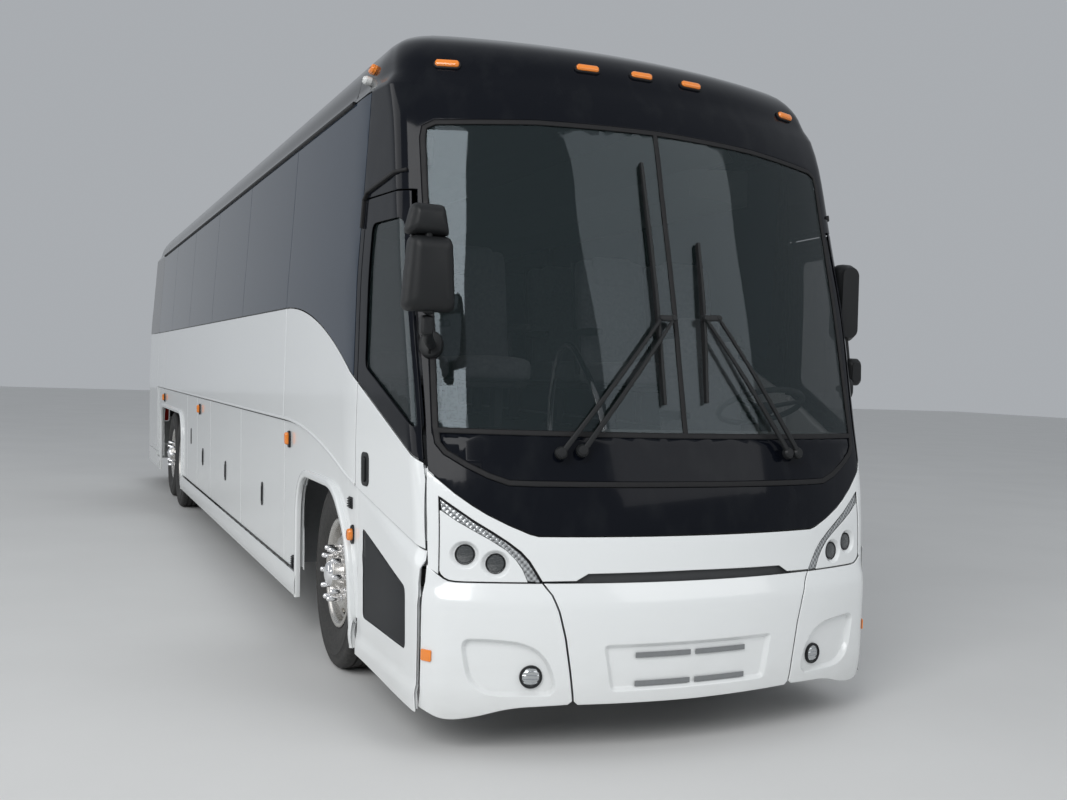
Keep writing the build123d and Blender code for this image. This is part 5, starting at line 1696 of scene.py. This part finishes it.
frameMesh = bmesh.new()
for y in seats["places"]:
    block(frameMesh, (0.05, 0.46, 0.72), 0.02, 3, (-0.515, y, 0.70), seats["lean"])
for y in (0.222, 0.698, 1.175):
    block(frameMesh, (0.36, 0.045, 0.05), 0.02, 2, (-0.26, y, 0.60))
    block(frameMesh, (0.05, 0.035, 0.24), 0.015, 2, (-0.40, y, 0.48))
block(frameMesh, (0.42, 0.90, 0.05), 0.02, 2, (-0.20, 0.70, 0.275))
block(frameMesh, (0.10, 0.06, 0.27), 0.02, 2, (-0.20, 0.36, 0.135))
block(frameMesh, (0.30, 0.10, 0.03), 0.012, 2, (-0.20, 0.36, 0.016))
seatFrame = finished("seatFrame", frameMesh, "darkTrim", 40)
for row in range(seats["rows"]):
    x = seats["first"] - row * seats["pitch"]
    for word, sign in bodySides.items():
        mirror = Matrix.Identity(4) if sign > 0 else Matrix.Scale(-1, 4, Vector((0, 1, 0)))
        placed(f"seatFrame{word}{row + 1}", seatFrame, (x, 0, seats["deck"]), "coach", mirror)
        for number, y in enumerate(seats["places"], 1):
            cushion(f"seatCushion{word}{row + 1}_{number}", "cushion", (x - 0.19, sign * y, 1.685))
            cushion(f"seatBack{word}{row + 1}_{number}", "back", (x - 0.445, sign * y, 2.02), seats["lean"])
            cushion(f"headPad{word}{row + 1}_{number}", "headrest", (x - 0.455, sign * y, 2.31), seats["lean"])

cushion("driverCushion", "driverCushion", (5.85, 0.72, 1.275))
cushion("driverBack", "driverBack", (5.60, 0.72, 1.60), 8)
cushion("driverHeadrest", "headrest", (5.545, 0.72, 1.93), 8)
baseMesh = bmesh.new()
block(baseMesh, (0.46, 0.44, 0.05), 0.02, 3, (5.84, 0.72, 1.19))
for fold in range(4):
    narrower = 0.03 * (fold % 2)
    block(baseMesh, (0.36 - narrower, 0.34 - narrower, 0.06), 0.022, 3, (5.84, 0.72, 1.14 - 0.045 * fold))
block(baseMesh, (0.42, 0.40, 0.05), 0.015, 3, (5.84, 0.72, 0.93))
block(baseMesh, (0.05, 0.46, 0.56), 0.02, 3, (5.54, 0.72, 1.59), 8)
for y in (0.46, 0.98):
    block(baseMesh, (0.32, 0.05, 0.05), 0.022, 3, (5.78, y, 1.47))
placed("driverSeatBase", finished("driverSeatBase", baseMesh, "darkTrim", 40), (0, 0, 0), "coach")
print("seats made")


# Rails and linings inside

stepRail = [(5.80, 0.905), (5.80, 1.70), (5.92, 1.82), (6.16, 1.72), (6.45, 1.40), (6.52, 1.20), (6.52, 0.905)]
tube("stepRail", [(x, -0.27, z) for x, z in stepRail], 0.017, "chrome")
for word, sign in bodySides.items():
    lining = side((-5.40, 1.345), (3.70, 1.345)) + along("belt", -5.40, 3.70, -0.05, 30)[::-1]
    coachPanel(f"innerWall{word}", lining, "trim", sign, out=-0.050, thick=0.006, bevel=0, grid=(0.5, 0.4))
lining = panel("innerCeiling", roofOutline(-5.30, 5.10), "trim", out=-0.075, thick=0.006, bevel=0, step=0.5,
               grid=(1.0, 0.3))
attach(whole(lining), "coach")
print("linings made")


# Nodes that the smooth pieces stand for

replaced = {
    "bodyCap": "front_cap",
    "noseMask": "front_mask",
    "bumperCentre": "bumper_centre",
    "bumperCornerLeft": "bumper_corner_left",
    "bumperCornerRight": "bumper_corner_right",
    "noseBand": "nose_band",
    "windshieldLeft": "windshield",
    "windshieldSeal": "windshield_seal",
    "beltPanelRearLeft": "side_wall_left",
    "beltPanelRearRight": "side_wall_right",
    "paneRight1": "side_glass",
    "wiperBladeRight": "wipers",
    "mirrorMainRight": "mirror_right",
    "mirrorMainLeft": "mirror_left",
    "clearanceLens1": "marker_lamps",
    "lampLensRight1": "headlamps",
    "doorMiddle": "entry_door",
    "doorWindow": "entry_glass",
    "roofPanel": "roof",
    "tailLower": "tail_cap",
    "tailBumper": "tail_bumper",
    "tailLampLeft1": "tail_lamps",
    "engineDoor": "engine_door",
    "seatCushionRight1_1": "passenger_seats",
    "driverCushion": "driver_seat",
}
for piece, node in replaced.items():
    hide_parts(node)

kept = {
    "air_springs": "rubber", "cab_floor": "floorCover", "cabin_floor": "floorCover", "dash": "trim",
    "drive_axle": "castIron", "engine": "castIron", "front_axle": "castIron", "tag_axle": "castIron",
    "luggage_bays": "bayLining", "parcel_racks": "trim", "steering_wheel": "darkTrim", "underframe": "frameSteel",
}
for node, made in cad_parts.items():
    finish = kept.get(node, "castIron" if node.startswith("knuckle") else None)
    if finish:
        for place in made.material_slots:
            place.material = finishes[finish]


# Floor, backdrop and lamps

studio = {
    "floor": (0.70, 0.70, 0.69),
    "sky": (0.86, 0.90, 0.95),
    "strength": 0.46,
    "key": (1050, (14, -9, 9), 8.0),
    "fill": (450, (16, 6.5, 9.5), 11.0),
    "side": (600, (-2, -16, 7), 12.0),
}


def makeFloor():
    mesh = bmesh.new()
    bmesh.ops.create_grid(mesh, x_segments=2, y_segments=2, size=60)
    data = bpy.data.meshes.new("studioFloor")
    mesh.to_mesh(data)
    mesh.free()
    finish = Finish("studioFloor", studio["floor"], 0.6)
    finish.set("Base Color", finish.mixed(finish.noise(0.7, 5.0), (0.66, 0.66, 0.65), (0.74, 0.74, 0.73)))
    data.materials.append(finish.material)
    added("studioFloor", data)


def makeLamp(name, power, place, size):
    data = bpy.data.lights.new(name, "AREA")
    data.energy, data.size = power, size
    lamp = added(name, data)
    toward = Vector((1.0, 0.0, 1.2)) - Vector(place)
    lamp.matrix_world = Matrix.Translation(place) @ toward.to_track_quat("-Z", "Y").to_matrix().to_4x4()


def makeSky():
    world = bpy.data.worlds.new("studioSky")
    world.use_nodes = True
    back = world.node_tree.nodes["Background"]
    back.inputs[0].default_value = (*studio["sky"], 1.0)
    back.inputs[1].default_value = studio["strength"]
    bpy.context.scene.world = world


makeFloor()
makeSky()
for name in ("key", "fill", "side"):
    power, place, size = studio[name]
    makeLamp(name, power, place, size)
bpy.context.scene.view_settings.view_transform = "Standard"
print("studio made")
